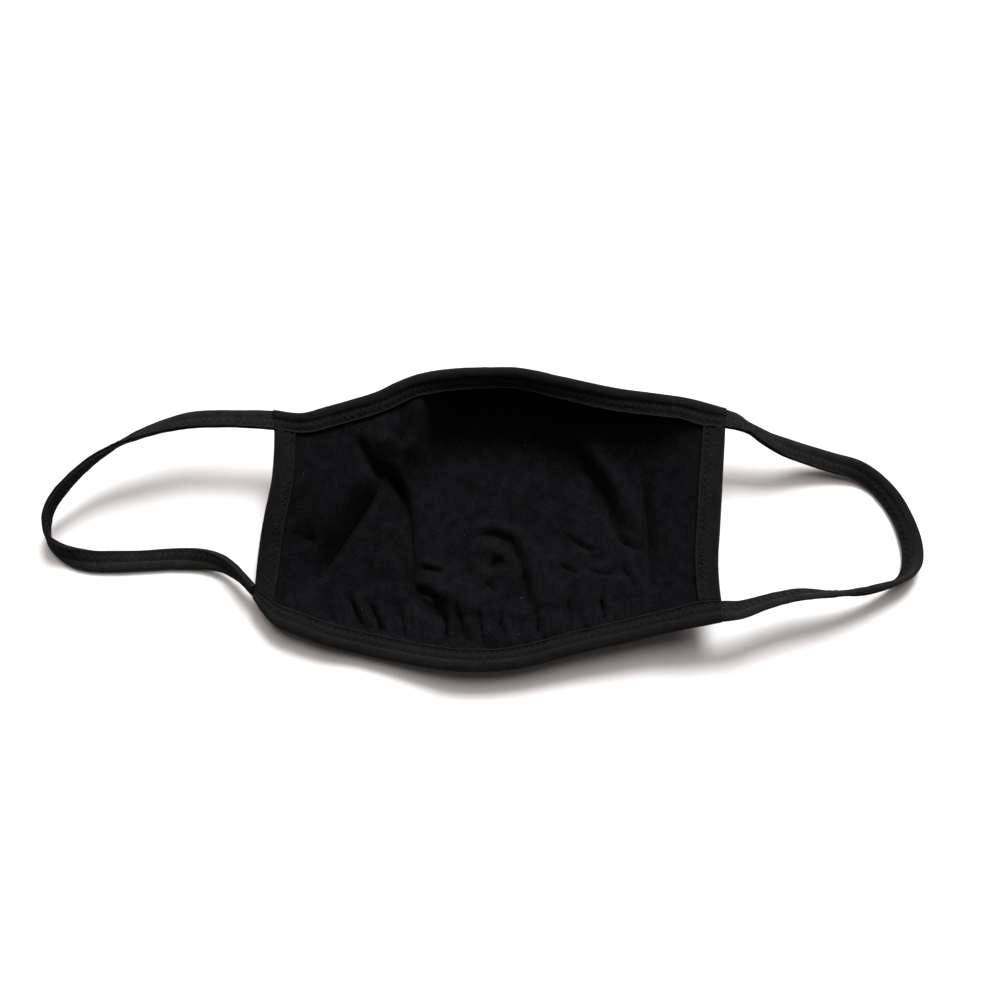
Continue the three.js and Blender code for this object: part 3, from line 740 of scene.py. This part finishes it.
# The loop's middle line with its ends drawn out by tuck, and the strip's two directions.
def loopFrame(table, f):
    path = lineThrough(table, "roll")
    at = lambda g: smoothThrough(path["at"], path["points"], g)
    here = at(f)
    tangent = at(np.minimum(f + 0.01, 1))[:, :3] - at(np.maximum(f - 0.01, 0))[:, :3]
    tangent /= np.linalg.norm(tangent, axis=1)[:, None]
    flat = np.cross([0.0, 0.0, 1.0], tangent)
    flat /= np.linalg.norm(flat, axis=1)[:, None]
    out = np.cross(tangent, flat)
    roll = np.radians(here[:, 3])[:, None]
    wide = flat * np.cos(roll) + out * np.sin(roll)
    thick = out * np.cos(roll) - flat * np.sin(roll)
    reach = loop["tuck"] * ((f >= 1).astype(float) - (f <= 0))
    return here[:, :3] + reach[:, None] * tangent, wide, thick, path["length"]


def makeLoop(table, pieceName, openSide, seed):
    f = np.linspace(0, 1, loop["steps"] + 1)
    here, wide, thick, length = loopFrame(table, f)
    across = np.concatenate([loopProfile["across"], loopProfile["across"][-2::-1]])
    off = np.concatenate([loopProfile["off"], -loopProfile["off"][-2::-1]])
    across, off = np.append(across, loop["insideFold"]), np.append(off, 0.0)
    far = (f * length)[:, None]
    pull = 1 + loop["pucker"] * softNoise(far, across[None] * 2, 2.4, seed)
    pull = pull + loop["wave"] * softNoise(far, across[None], 8, seed + 4)
    width = 1 + loop["width"] * softNoise(far, 0 * far, 9, seed + 8)
    a, o = across[None] * width * openSide, off[None] * pull
    points = here[:, None] + wide[:, None] * a[..., None] + thick[:, None] * o[..., None]
    size = len(across)
    turned = openSide > 0
    faces = []
    for i in range(loop["steps"]):
        for k in range(size):
            p, q = i * size + k, i * size + (k + 1) % size
            quad = [p, q, q + size, p + size]
            faces.append(quad[::-1] if turned else quad)
    half = (size - 2) // 2
    for ring, flip in ((0, turned), (loop["steps"], not turned)):
        o = ring * size
        for k in range(half):
            quad = [o + k, o + size - 2 - k, o + size - 3 - k, o + k + 1]
            if k == half - 1:
                quad = [o + k, o + k + 2, o + k + 1]
            faces.append(quad[::-1] if flip else quad)
        end = [o, o + size - 1, o + size - 2]
        faces.append(end[::-1] if flip else end)
    run = np.concatenate([[0], np.cumsum(np.hypot(np.diff(across), np.diff(off)))])
    uv = np.stack([np.broadcast_to(far, (len(f), size)), np.broadcast_to(run, (len(f), size))], -1)
    return pieceFrom(pieceName, points.reshape(-1, 3), faces, uv.reshape(-1, 2))


# Sewing thread: zig-zag cover stitches between two straight needle rows.
thread = dict(radius=0.21, rise=0.34, pitch=1.35, inner=7.0, outer=4.45, fill=1.1, uneven=0.14)
needle = dict(radius=0.16, rise=0.16, pitch=2.3, fill=0.82)
# A cord of the lighter sewing thread along each tape's fold edge: partly a raised ridge that the lamps
# light, partly a painted highlight in its lighter colour, for the light caught on the edge.
edgeHighlightCord = dict(radius=0.27, rise=0.025, inset=8.02, pitch=1.1, fill=1.06)
loopStitch = dict(inner=2.75, outer=0.15, rows=(2.9, -0.1), lift=0.04)  # across the strip


# A tree that puts one short arched thread on each guide point.
def stitchTree():
    tree = bpy.data.node_groups.new("Stitches", "GeometryNodeTree")
    face = tree.interface
    face.new_socket("Guide", in_out="INPUT", socket_type="NodeSocketGeometry")
    face.new_socket("Radius", in_out="INPUT", socket_type="NodeSocketFloat")
    face.new_socket("Rise", in_out="INPUT", socket_type="NodeSocketFloat")
    face.new_socket("Thread", in_out="INPUT", socket_type="NodeSocketMaterial")
    face.new_socket("Stitches", in_out="OUTPUT", socket_type="NodeSocketGeometry")
    add, link = tree.nodes.new, tree.links.new
    given, result = add("NodeGroupInput"), add("NodeGroupOutput")

    top = add("ShaderNodeCombineXYZ")
    link(given.outputs["Rise"], top.inputs["Z"])
    arch = add("GeometryNodeCurveQuadraticBezier")
    arch.inputs["Resolution"].default_value = 5
    arch.inputs["Start"].default_value = (-0.5, 0, 0)
    arch.inputs["End"].default_value = (0.5, 0, 0)
    link(top.outputs[0], arch.inputs["Middle"])
    ring = add("GeometryNodeCurvePrimitiveCircle")
    ring.inputs["Resolution"].default_value = 5
    link(given.outputs["Radius"], ring.inputs["Radius"])
    tube = add("GeometryNodeCurveToMesh")
    tube.inputs["Fill Caps"].default_value = True
    link(arch.outputs["Curve"], tube.inputs["Curve"])
    link(ring.outputs["Curve"], tube.inputs["Profile Curve"])

    along = namedVector(tree, "along")
    out = namedVector(tree, "out")
    turn = add("FunctionNodeAxesToRotation")
    turn.primary_axis, turn.secondary_axis = "X", "Z"
    link(along.outputs[0], turn.inputs[0])
    link(out.outputs[0], turn.inputs[1])
    reach = add("GeometryNodeInputNamedAttribute")
    reach.data_type = "FLOAT"
    reach.inputs["Name"].default_value = "reach"
    size = add("ShaderNodeCombineXYZ")
    link(reach.outputs[0], size.inputs["X"])
    size.inputs["Y"].default_value = size.inputs["Z"].default_value = 1
    copies = add("GeometryNodeInstanceOnPoints")
    link(given.outputs["Guide"], copies.inputs["Points"])
    link(tube.outputs["Mesh"], copies.inputs["Instance"])
    link(turn.outputs[0], copies.inputs["Rotation"])
    link(size.outputs[0], copies.inputs["Scale"])
    finishTree(tree, copies, given, result)
    return tree


# A tree that scatters short bent fibres over a surface, standing out of it.
def fibreTree():
    tree = bpy.data.node_groups.new("Fibres", "GeometryNodeTree")
    face = tree.interface
    face.new_socket("Surface", in_out="INPUT", socket_type="NodeSocketGeometry")
    for name in ("Density", "Length", "Radius", "Lean"):
        face.new_socket(name, in_out="INPUT", socket_type="NodeSocketFloat")
    face.new_socket("Thread", in_out="INPUT", socket_type="NodeSocketMaterial")
    face.new_socket("Fibres", in_out="OUTPUT", socket_type="NodeSocketGeometry")
    add, link = tree.nodes.new, tree.links.new
    given, result = add("NodeGroupInput"), add("NodeGroupOutput")
    scatter = add("GeometryNodeDistributePointsOnFaces")
    scatter.inputs["Seed"].default_value = 19
    link(given.outputs["Surface"], scatter.inputs["Mesh"])
    link(given.outputs["Density"], scatter.inputs["Density"])
    bend, tip = add("ShaderNodeCombineXYZ"), add("ShaderNodeCombineXYZ")
    link(given.outputs["Length"], bend.inputs["Z"])
    link(given.outputs["Lean"], tip.inputs["X"])
    link(given.outputs["Length"], tip.inputs["Z"])
    hair = add("GeometryNodeCurveQuadraticBezier")
    hair.inputs["Resolution"].default_value = 3
    hair.inputs["Start"].default_value = (0, 0, -0.0001)
    link(bend.outputs[0], hair.inputs["Middle"])
    link(tip.outputs[0], hair.inputs["End"])
    ring = add("GeometryNodeCurvePrimitiveCircle")
    ring.inputs["Resolution"].default_value = 3
    link(given.outputs["Radius"], ring.inputs["Radius"])
    tube = add("GeometryNodeCurveToMesh")
    tube.inputs["Fill Caps"].default_value = True
    link(hair.outputs["Curve"], tube.inputs["Curve"])
    link(ring.outputs["Curve"], tube.inputs["Profile Curve"])
    copies = add("GeometryNodeInstanceOnPoints")
    link(scatter.outputs["Points"], copies.inputs["Points"])
    link(scatter.outputs["Rotation"], copies.inputs["Rotation"])
    link(tube.outputs["Mesh"], copies.inputs["Instance"])
    spin = add("FunctionNodeRandomValue")
    spin.data_type = "FLOAT_VECTOR"
    spin.inputs[0].default_value = (-0.9, -0.9, 0)
    spin.inputs[1].default_value = (0.9, 0.9, 6.28)
    turn = add("GeometryNodeRotateInstances")
    link(copies.outputs[0], turn.inputs["Instances"])
    link(spin.outputs[0], turn.inputs["Rotation"])
    finishTree(tree, turn, given, result)
    return tree


def fibresOn(piece, tree, name, kind, material):
    carrier = bpy.data.objects.new("carrier", piece.data.copy())
    bpy.context.scene.collection.objects.link(carrier)
    values = {"Density": kind["count"], "Length": kind["length"] * mm}
    values.update({"Radius": kind["radius"] * mm, "Lean": kind["lean"] * mm, "Thread": material})
    return runTree(tree, carrier, values, name)


def namedVector(tree, name):
    node = tree.nodes.new("GeometryNodeInputNamedAttribute")
    node.data_type = "FLOAT_VECTOR"
    node.inputs["Name"].default_value = name
    return node


def finishTree(tree, instances, given, result):
    real = tree.nodes.new("GeometryNodeRealizeInstances")
    smooth = tree.nodes.new("GeometryNodeSetShadeSmooth")
    paint = tree.nodes.new("GeometryNodeSetMaterial")
    tree.links.new(instances.outputs[0], real.inputs[0])
    tree.links.new(real.outputs[0], smooth.inputs[0])
    tree.links.new(smooth.outputs[0], paint.inputs[0])
    tree.links.new(given.outputs["Thread"], paint.inputs["Material"])
    tree.links.new(paint.outputs[0], result.inputs[0])


# Runs a tree over a guide object and leaves its result as a plain mesh.
def runTree(tree, guide, values, pieceName):
    modifier = guide.modifiers.new("tree", "NODES")
    modifier.node_group = tree
    for item in tree.interface.items_tree:
        if item.item_type == "SOCKET" and item.in_out == "INPUT" and item.name in values:
            modifier[item.identifier] = values[item.name]
    bpy.context.view_layer.update()
    ready = guide.evaluated_get(bpy.context.evaluated_depsgraph_get())
    mesh = bpy.data.meshes.new_from_object(ready)
    mesh.name = pieceName
    guide.modifiers.remove(modifier)
    bpy.data.objects.remove(guide)
    piece = bpy.data.objects.new(pieceName, mesh)
    bpy.context.scene.collection.objects.link(piece)
    return piece


# A mesh of loose points that carries each thread's direction, way out and length.
def guideFrom(points, along, out, reach):
    mesh = bpy.data.meshes.new("guide")
    mesh.from_pydata(((points + np.array(place)) * mm).tolist(), [], [])
    for name, data in (("along", along), ("out", out)):
        layer = mesh.attributes.new(name, "FLOAT_VECTOR", "POINT")
        layer.data.foreach_set("vector", np.asarray(data, np.float32).ravel())
    layer = mesh.attributes.new("reach", "FLOAT", "POINT")
    layer.data.foreach_set("value", np.asarray(reach, np.float32) * mm)
    guide = bpy.data.objects.new("guide", mesh)
    bpy.context.scene.collection.objects.link(guide)
    return guide


# The tree's inputs for one kind of thread. The arch's handle is at twice its rise.
def threadValues(kind, material):
    return {"Radius": kind["radius"] * mm, "Rise": kind["rise"] * 2 * mm, "Thread": material}


def uneven(rng, count):
    return rng.uniform(-thread["uneven"], thread["uneven"], count)


# Threads between pairs of points; each is shortened or lengthened by fill.
def threadsBetween(a, b, normal, fill):
    run = b - a
    reach = np.linalg.norm(run, axis=1)
    return [(a + b) / 2, run / reach[:, None], normal, reach * fill]


# Several lots of threads as one.
def stack(groups):
    return [np.concatenate([group[k] for group in groups]) for k in range(4)]


# The point on a binding's outside, on either leaf, and the way out of the cloth there.
def onBinding(name, n, inset, leaf):
    level = np.interp(inset, bindingProfile["inset"][::-1], bindingProfile["lift"][::-1])
    point, normal = onSurface(*bindingStation(name, n, inset))
    return point + normal * (leaf * (level + 0.03))[..., None], normal * leaf


def bindingThreads(name, tree, material):
    n = bindingSpan(name)
    far = bindingDistance(name, n)
    station = lambda distance: np.interp(distance, far, n)
    rng = np.random.default_rng({"top": 3, "bottom": 4, "left": 5, "right": 6}[name])
    zigzags, rowsOfStitches, highlightCords = [], [], []
    for leaf in (1, -1):
        count = int((far[-1] - 1) / thread["pitch"])
        at = 0.5 + np.arange(count + 1) * thread["pitch"] + uneven(rng, count + 1)
        inset = np.where(np.arange(count + 1) % 2, thread["inner"], thread["outer"])
        inset = inset + rng.uniform(-0.16, 0.16, count + 1)
        point, out = onBinding(name, station(at), inset, leaf)
        half = (out[1:] + out[:-1]) / 2
        zigzags.append(threadsBetween(point[:-1], point[1:], half, thread["fill"]))
        # Painted highlight: a cord of the lighter thread laid along the fold edge of the tape.
        at = np.arange(0.4, far[-1] - 1.4, edgeHighlightCord["pitch"])
        edge = edgeHighlightCord["inset"] + rng.uniform(-0.05, 0.05, len(at))
        a, out = onBinding(name, station(at), edge, leaf)
        b, _ = onBinding(name, station(at + edgeHighlightCord["pitch"]), edge, leaf)
        highlightCords.append(threadsBetween(a, b, out, edgeHighlightCord["fill"]))
        for inset in (thread["inner"] + 0.15, thread["outer"] - 0.25):
            at = np.arange(0.8, far[-1] - 2.4, needle["pitch"])
            at = at + rng.uniform(-0.1, 0.1, len(at))
            edge = inset + rng.uniform(-0.06, 0.06, len(at))
            a, out = onBinding(name, station(at), edge, leaf)
            b, _ = onBinding(name, station(at + needle["pitch"]), edge, leaf)
            rowsOfStitches.append(threadsBetween(a, b, out, needle["fill"]))
    sewn = joinedThreads(tree, zigzags, rowsOfStitches, material, "stitches_" + name)
    cord = runTree(tree, guideFrom(*stack(highlightCords)), threadValues(edgeHighlightCord, material), "edge_" + name)
    return joinInto(sewn, cord, material)


def loopThreads(table, openSide, seed, tree, material, name):
    length = lineThrough(table, "roll")["length"]
    rng = np.random.default_rng(seed)

    def onLoop(distance, across, face):
        here, wide, thick, _ = loopFrame(table, np.clip(distance / length, 0, 1))
        half = loopProfile["across"][::-1], loopProfile["off"][::-1]
        lift = np.interp(across, *half) + loopStitch["lift"]
        point = here + wide * (across * openSide)[:, None] + thick * (lift * face)[:, None]
        return point, thick * face

    zigzags, rowsOfStitches = [], []
    for face in (1, -1):
        count = int((length - 3) / thread["pitch"])
        at = 1 + np.arange(count + 1) * thread["pitch"] + uneven(rng, count + 1)
        across = np.where(np.arange(count + 1) % 2, loopStitch["inner"], loopStitch["outer"])
        across = across + uneven(rng, count + 1)
        point, out = onLoop(at, across, face)
        zigzags.append(threadsBetween(point[:-1], point[1:], out[1:], thread["fill"]))
        for row in loopStitch["rows"]:
            at = np.arange(1.2, length - 4, needle["pitch"])
            a, out = onLoop(at, np.full(len(at), row), face)
            b, _ = onLoop(at + needle["pitch"], np.full(len(at), row), face)
            rowsOfStitches.append(threadsBetween(a, b, out, needle["fill"]))
    return joinedThreads(tree, zigzags, rowsOfStitches, material, name)


def joinedThreads(tree, zigzags, rowsOfStitches, material, name):
    over = guideFrom(*stack(zigzags))
    under = guideFrom(*stack(rowsOfStitches))
    braid = runTree(tree, over, threadValues(thread, material), name)
    line = runTree(tree, under, threadValues(needle, material), name + "_rows")
    return joinInto(braid, line, material)


# Joins one piece's mesh with another's, which is then gone.
def joinInto(piece, other, material):
    meshes = [piece.data, other.data]
    points, faces, start = [], [], 0
    for mesh in meshes:
        co = np.empty(len(mesh.vertices) * 3)
        mesh.vertices.foreach_get("co", co)
        points.append(co.reshape(-1, 3))
        faces += [[v + start for v in p.vertices] for p in mesh.polygons]
        start += len(mesh.vertices)
    joined = bpy.data.meshes.new(piece.name)
    joined.from_pydata(np.concatenate(points).tolist(), [], faces)
    joined.polygons.foreach_set("use_smooth", [True] * len(joined.polygons))
    joined.materials.append(material)
    piece.data = joined
    bpy.data.objects.remove(other)
    return piece


# Small node helpers for the finishes.
def nodeAdder(material):
    tree = material.node_tree

    def add(kind, inputs=None, **settings):
        node = tree.nodes.new(kind)
        for name, value in settings.items():
            setattr(node, name, value)
        for socket, value in (inputs or {}).items():
            if isinstance(value, bpy.types.NodeSocket):
                tree.links.new(value, node.inputs[socket])
            else:
                node.inputs[socket].default_value = value
        return node

    return add


def maths(add, operation, a, b, c=None):
    inputs = {0: a, 1: b} if c is None else {0: a, 1: b, 2: c}
    return add("ShaderNodeMath", inputs, operation=operation).outputs[0]


jersey = dict(
    dark=(0.0002, 0.0002, 0.0004, 1),
    light=(0.0088, 0.0087, 0.0106, 1),
    wale=1.05,
    course=0.8,
    roughness=1.0,
    specular=0.035,
    sheen=0.004,
)
# The tape's knit is finer than the jersey's, and its colours are set a little lighter: painted sheen
# for the light its rolled edges catch.
tapeFinish = dict(
    dark=(0.0005, 0.0005, 0.0007, 1),
    light=(0.0092, 0.0089, 0.0099, 1),
    wale=0.8,
    course=0.62,
    roughness=1.0,
    specular=0.05,
    sheen=0.03,
)
# The loops are the same strip as the bindings, given the tape's finish about twice as light: painted
# light, a lit copy of the tape.
loopFinishPaintedLighter = dict(tapeFinish, dark=(0.001, 0.001, 0.001, 1), light=(0.0195, 0.0192, 0.0192, 1))


# Knitted cotton: columns of small V stitches in the cloth's own coordinates, with fuzz. The colour
# follows the knit and nap of the bump, darker in the grooves between the stitches: painted shade; the
# patch noise is random tone.
def knitMaterial(name, finish):
    material = bpy.data.materials.new(name)
    material.use_nodes = True
    nodes = material.node_tree.nodes
    shader = nodes["Principled BSDF"]
    add = nodeAdder(material)
    onCloth = add("ShaderNodeUVMap", uv_map="cloth").outputs[0]
    inMm = add("ShaderNodeVectorMath", {0: onCloth, "Scale": 1000.0}, operation="SCALE").outputs[0]
    apart = add("ShaderNodeSeparateXYZ", {0: inMm})
    x = maths(add, "DIVIDE", apart.outputs[0], finish["wale"])
    y = maths(add, "DIVIDE", apart.outputs[1], finish["course"])
    wobble = add("ShaderNodeTexNoise", {"Vector": inMm, "Scale": 0.35, "Detail": 2.0})
    x = maths(add, "MULTIPLY_ADD", wobble.outputs[0], 0.9, x)
    half = maths(add, "ABSOLUTE", maths(add, "SUBTRACT", maths(add, "FRACT", x, 0.0), 0.5), 0.0)
    legs = maths(add, "MULTIPLY_ADD", half, 1.1, y)
    leg = maths(add, "PINGPONG", legs, 0.5)
    rib = maths(add, "SINE", maths(add, "MULTIPLY", half, math.pi * 2), 0.0)
    knit = maths(add, "MULTIPLY_ADD", leg, 0.7, maths(add, "MULTIPLY", rib, 0.65))
    spot = add("ShaderNodeTexCoord").outputs["Object"]
    nap = add("ShaderNodeTexNoise", {"Vector": spot, "Scale": 1500.0, "Detail": 4.0, "Roughness": 0.7})
    patch = add("ShaderNodeTexNoise", {"Vector": spot, "Scale": 230.0, "Detail": 6.0})
    # Painted shade: the knit and nap that raise the bump also set the colour, darker where the bump is
    # low.
    tone = maths(add, "MULTIPLY_ADD", knit, 0.5, maths(add, "MULTIPLY", nap.outputs[0], 1.3))
    tone = maths(add, "MULTIPLY_ADD", patch.outputs[0], 0.8, tone)
    ramp = add("ShaderNodeMapRange", {0: tone, 1: 1.0, 2: 1.72}).outputs[0]
    colour = add("ShaderNodeMix", {0: ramp, 6: finish["dark"], 7: finish["light"]}, data_type="RGBA")
    height = maths(add, "MULTIPLY_ADD", nap.outputs[0], 0.6, knit)
    bump = add("ShaderNodeBump", {"Height": height, "Strength": 1.0, "Distance": 0.0004})
    link = material.node_tree.links.new
    link(colour.outputs[2], shader.inputs["Base Color"])
    link(bump.outputs[0], shader.inputs["Normal"])
    shader.inputs["Roughness"].default_value = finish["roughness"]
    shader.inputs["Specular IOR Level"].default_value = finish["specular"]
    shader.inputs["Sheen Weight"].default_value = finish["sheen"]
    shader.inputs["Sheen Roughness"].default_value = 0.6
    return material


sewingThread = dict(dark=(0.004, 0.004, 0.0044, 1), light=(0.03, 0.029, 0.031, 1), roughness=0.8)


def threadMaterial():
    material = bpy.data.materials.new("sewing_thread")
    material.use_nodes = True
    shader = material.node_tree.nodes["Principled BSDF"]
    add = nodeAdder(material)
    spot = add("ShaderNodeTexCoord").outputs["Object"]
    twist = add("ShaderNodeTexWave", {"Vector": spot, "Scale": 900.0, "Distortion": 3.0})
    grain = add("ShaderNodeTexNoise", {"Vector": spot, "Scale": 500.0, "Detail": 3.0})
    # Painted shade: the twist and grain that raise the bump also set the colour, darker in the grooves
    # of the twist.
    tone = maths(add, "MULTIPLY", twist.outputs["Fac"], grain.outputs[0])
    mixInputs = {0: tone, 6: sewingThread["dark"], 7: sewingThread["light"]}
    colour = add("ShaderNodeMix", mixInputs, data_type="RGBA")
    bump = add("ShaderNodeBump", {"Height": tone, "Strength": 0.5, "Distance": 0.0001})
    link = material.node_tree.links.new
    link(colour.outputs[2], shader.inputs["Base Color"])
    link(bump.outputs[0], shader.inputs["Normal"])
    shader.inputs["Roughness"].default_value = sewingThread["roughness"]
    shader.inputs["Specular IOR Level"].default_value = 0.08
    return material


# Specks of lint on the panel and fine fibres on the tape, with how many for each square metre.
lint = dict(count=620, length=0.32, radius=0.06, lean=0.3, colour=(0.28, 0.27, 0.26, 1))
fuzz = dict(count=0.5e6, length=0.34, radius=0.022, lean=0.4)


def lintMaterial():
    material = bpy.data.materials.new("lint")
    material.use_nodes = True
    shader = material.node_tree.nodes["Principled BSDF"]
    add = nodeAdder(material)
    spot = add("ShaderNodeTexCoord").outputs["Object"]
    grain = add("ShaderNodeTexNoise", {"Vector": spot, "Scale": 700.0})
    inputs = {0: grain.outputs[0], 6: (0.08, 0.08, 0.08, 1), 7: lint["colour"]}
    colour = add("ShaderNodeMix", inputs, data_type="RGBA")
    material.node_tree.links.new(colour.outputs[2], shader.inputs["Base Color"])
    shader.inputs["Roughness"].default_value = 0.9
    return material


panelFinish = knitMaterial("panel_jersey", jersey)
bindingFinish = knitMaterial("binding_tape", tapeFinish)
# Loop material: the tape's finish painted lighter, for the light the loops catch.
strapFinishPaintedLighter = knitMaterial("loop_tape", loopFinishPaintedLighter)
threadFinish = threadMaterial()

panelPiece = makePanel()
panelPiece.data.materials.append(panelFinish)
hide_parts("mask_panel")
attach(panelPiece, "root")
print("panel", len(panelPiece.data.polygons))

stitches, fibres = stitchTree(), fibreTree()
specks = fibresOn(panelPiece, fibres, "lint", lint, lintMaterial())
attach(specks, "root")
onPanel = [specks]


for name, node in (
    ("bottom", "bottom_binding"),
    ("top", "top_binding"),
    ("left", "side_binding_left"),
    ("right", "side_binding_right"),
):
    piece = makeBinding(name, node + "_tape")
    piece.data.materials.append(bindingFinish)
    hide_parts(node)
    sewn = bindingThreads(name, stitches, threadFinish)
    fluff = fibresOn(piece, fibres, piece.name + "_fuzz", fuzz, threadFinish)
    for made in (piece, sewn, fluff):
        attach(made, "root")
    onPanel += [piece, sewn, fluff]
    print(node, len(piece.data.polygons), len(sewn.data.polygons))

for table, node, openSide, seed in (
    (leftLoop, "ear_loop_left", 1, 61),
    (rightLoop, "ear_loop_right", -1, 83),
):
    piece = makeLoop(table, node + "_strip", openSide, seed)
    piece.data.materials.append(strapFinishPaintedLighter)
    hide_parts(node)
    sewn = loopThreads(table, openSide, seed, stitches, threadFinish, node + "_stitches")
    fluff = fibresOn(piece, fibres, piece.name + "_fuzz", fuzz, threadFinish)
    for made in (piece, sewn, fluff):
        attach(made, "root")
    onPanel += [piece, sewn, fluff]
    print(node, len(piece.data.polygons), len(sewn.data.polygons))


# Floor, light and camera. Angles are in degrees and distances in metres.
view = dict(lens=50, sensor=36, tilt=70, distance=0.5556)
paperSheet = dict(half=4, level=-0.0002, colour=(0.86, 0.855, 0.85, 1))
light = dict(
    turn=17,
    height=54,
    distance=3.0,
    size=1.1,
    power=104.0,
    fillHeight=2.2,
    fillBack=1.1,
    fillSize=3.0,
    fillPower=64.0,
    sky=0.06,
)


def makeStage():
    scene = bpy.context.scene
    scene.view_settings.view_transform = "Standard"
    mesh = bpy.data.meshes.new("floor")
    half = paperSheet["half"]
    corners = [(-half, -half), (half, -half), (half, half), (-half, half)]
    mesh.from_pydata([(x, y, paperSheet["level"]) for x, y in corners], [], [(0, 1, 2, 3)])
    floor = bpy.data.objects.new("floor", mesh)
    scene.collection.objects.link(floor)
    paper = bpy.data.materials.new("floor_paper")
    paper.use_nodes = True
    shader = paper.node_tree.nodes["Principled BSDF"]
    shader.inputs["Base Color"].default_value = paperSheet["colour"]
    shader.inputs["Roughness"].default_value = 0.9
    shader.inputs["Specular IOR Level"].default_value = 0.2
    mesh.materials.append(paper)

    world = bpy.data.worlds.new("studio")
    world.use_nodes = True
    sky = world.node_tree.nodes["Background"]
    sky.inputs["Color"].default_value = (1.0, 0.88, 0.83, 1)
    sky.inputs["Strength"].default_value = light["sky"]
    scene.world = world

    turn, height = math.radians(light["turn"]), math.radians(light["height"])
    way = np.array([math.sin(turn) * math.cos(height), math.cos(turn) * math.cos(height)])
    way = np.append(way, math.sin(height)) * light["distance"]
    addLamp("window", way, light["size"], light["power"], (0.97, 0.985, 1.0))
    above = np.array([0.2, light["fillBack"], light["fillHeight"]])
    addLamp("ceiling", above, light["fillSize"], light["fillPower"], (1.0, 0.95, 0.92))

    eye = bpy.data.cameras.new("camera")
    eye.lens, eye.sensor_width = view["lens"], view["sensor"]
    camera = bpy.data.objects.new("camera", eye)
    scene.collection.objects.link(camera)
    tilt = math.radians(view["tilt"])
    away = view["distance"] * np.array([0, -math.cos(tilt), math.sin(tilt)])
    camera.location = np.array(place) * mm + away
    camera.rotation_euler = (math.pi / 2 - tilt, 0, 0)
    scene.camera = camera


# A round lamp that faces the middle of the scene.
def addLamp(name, at, size, power, colour):
    data = bpy.data.lights.new(name, "AREA")
    data.shape, data.size, data.energy, data.color = "DISK", size, power, colour
    lamp = bpy.data.objects.new(name, data)
    lamp.location = at
    lamp.rotation_euler = Vector(-at).to_track_quat("-Z", "Y").to_euler()
    bpy.context.scene.collection.objects.link(lamp)


makeStage()
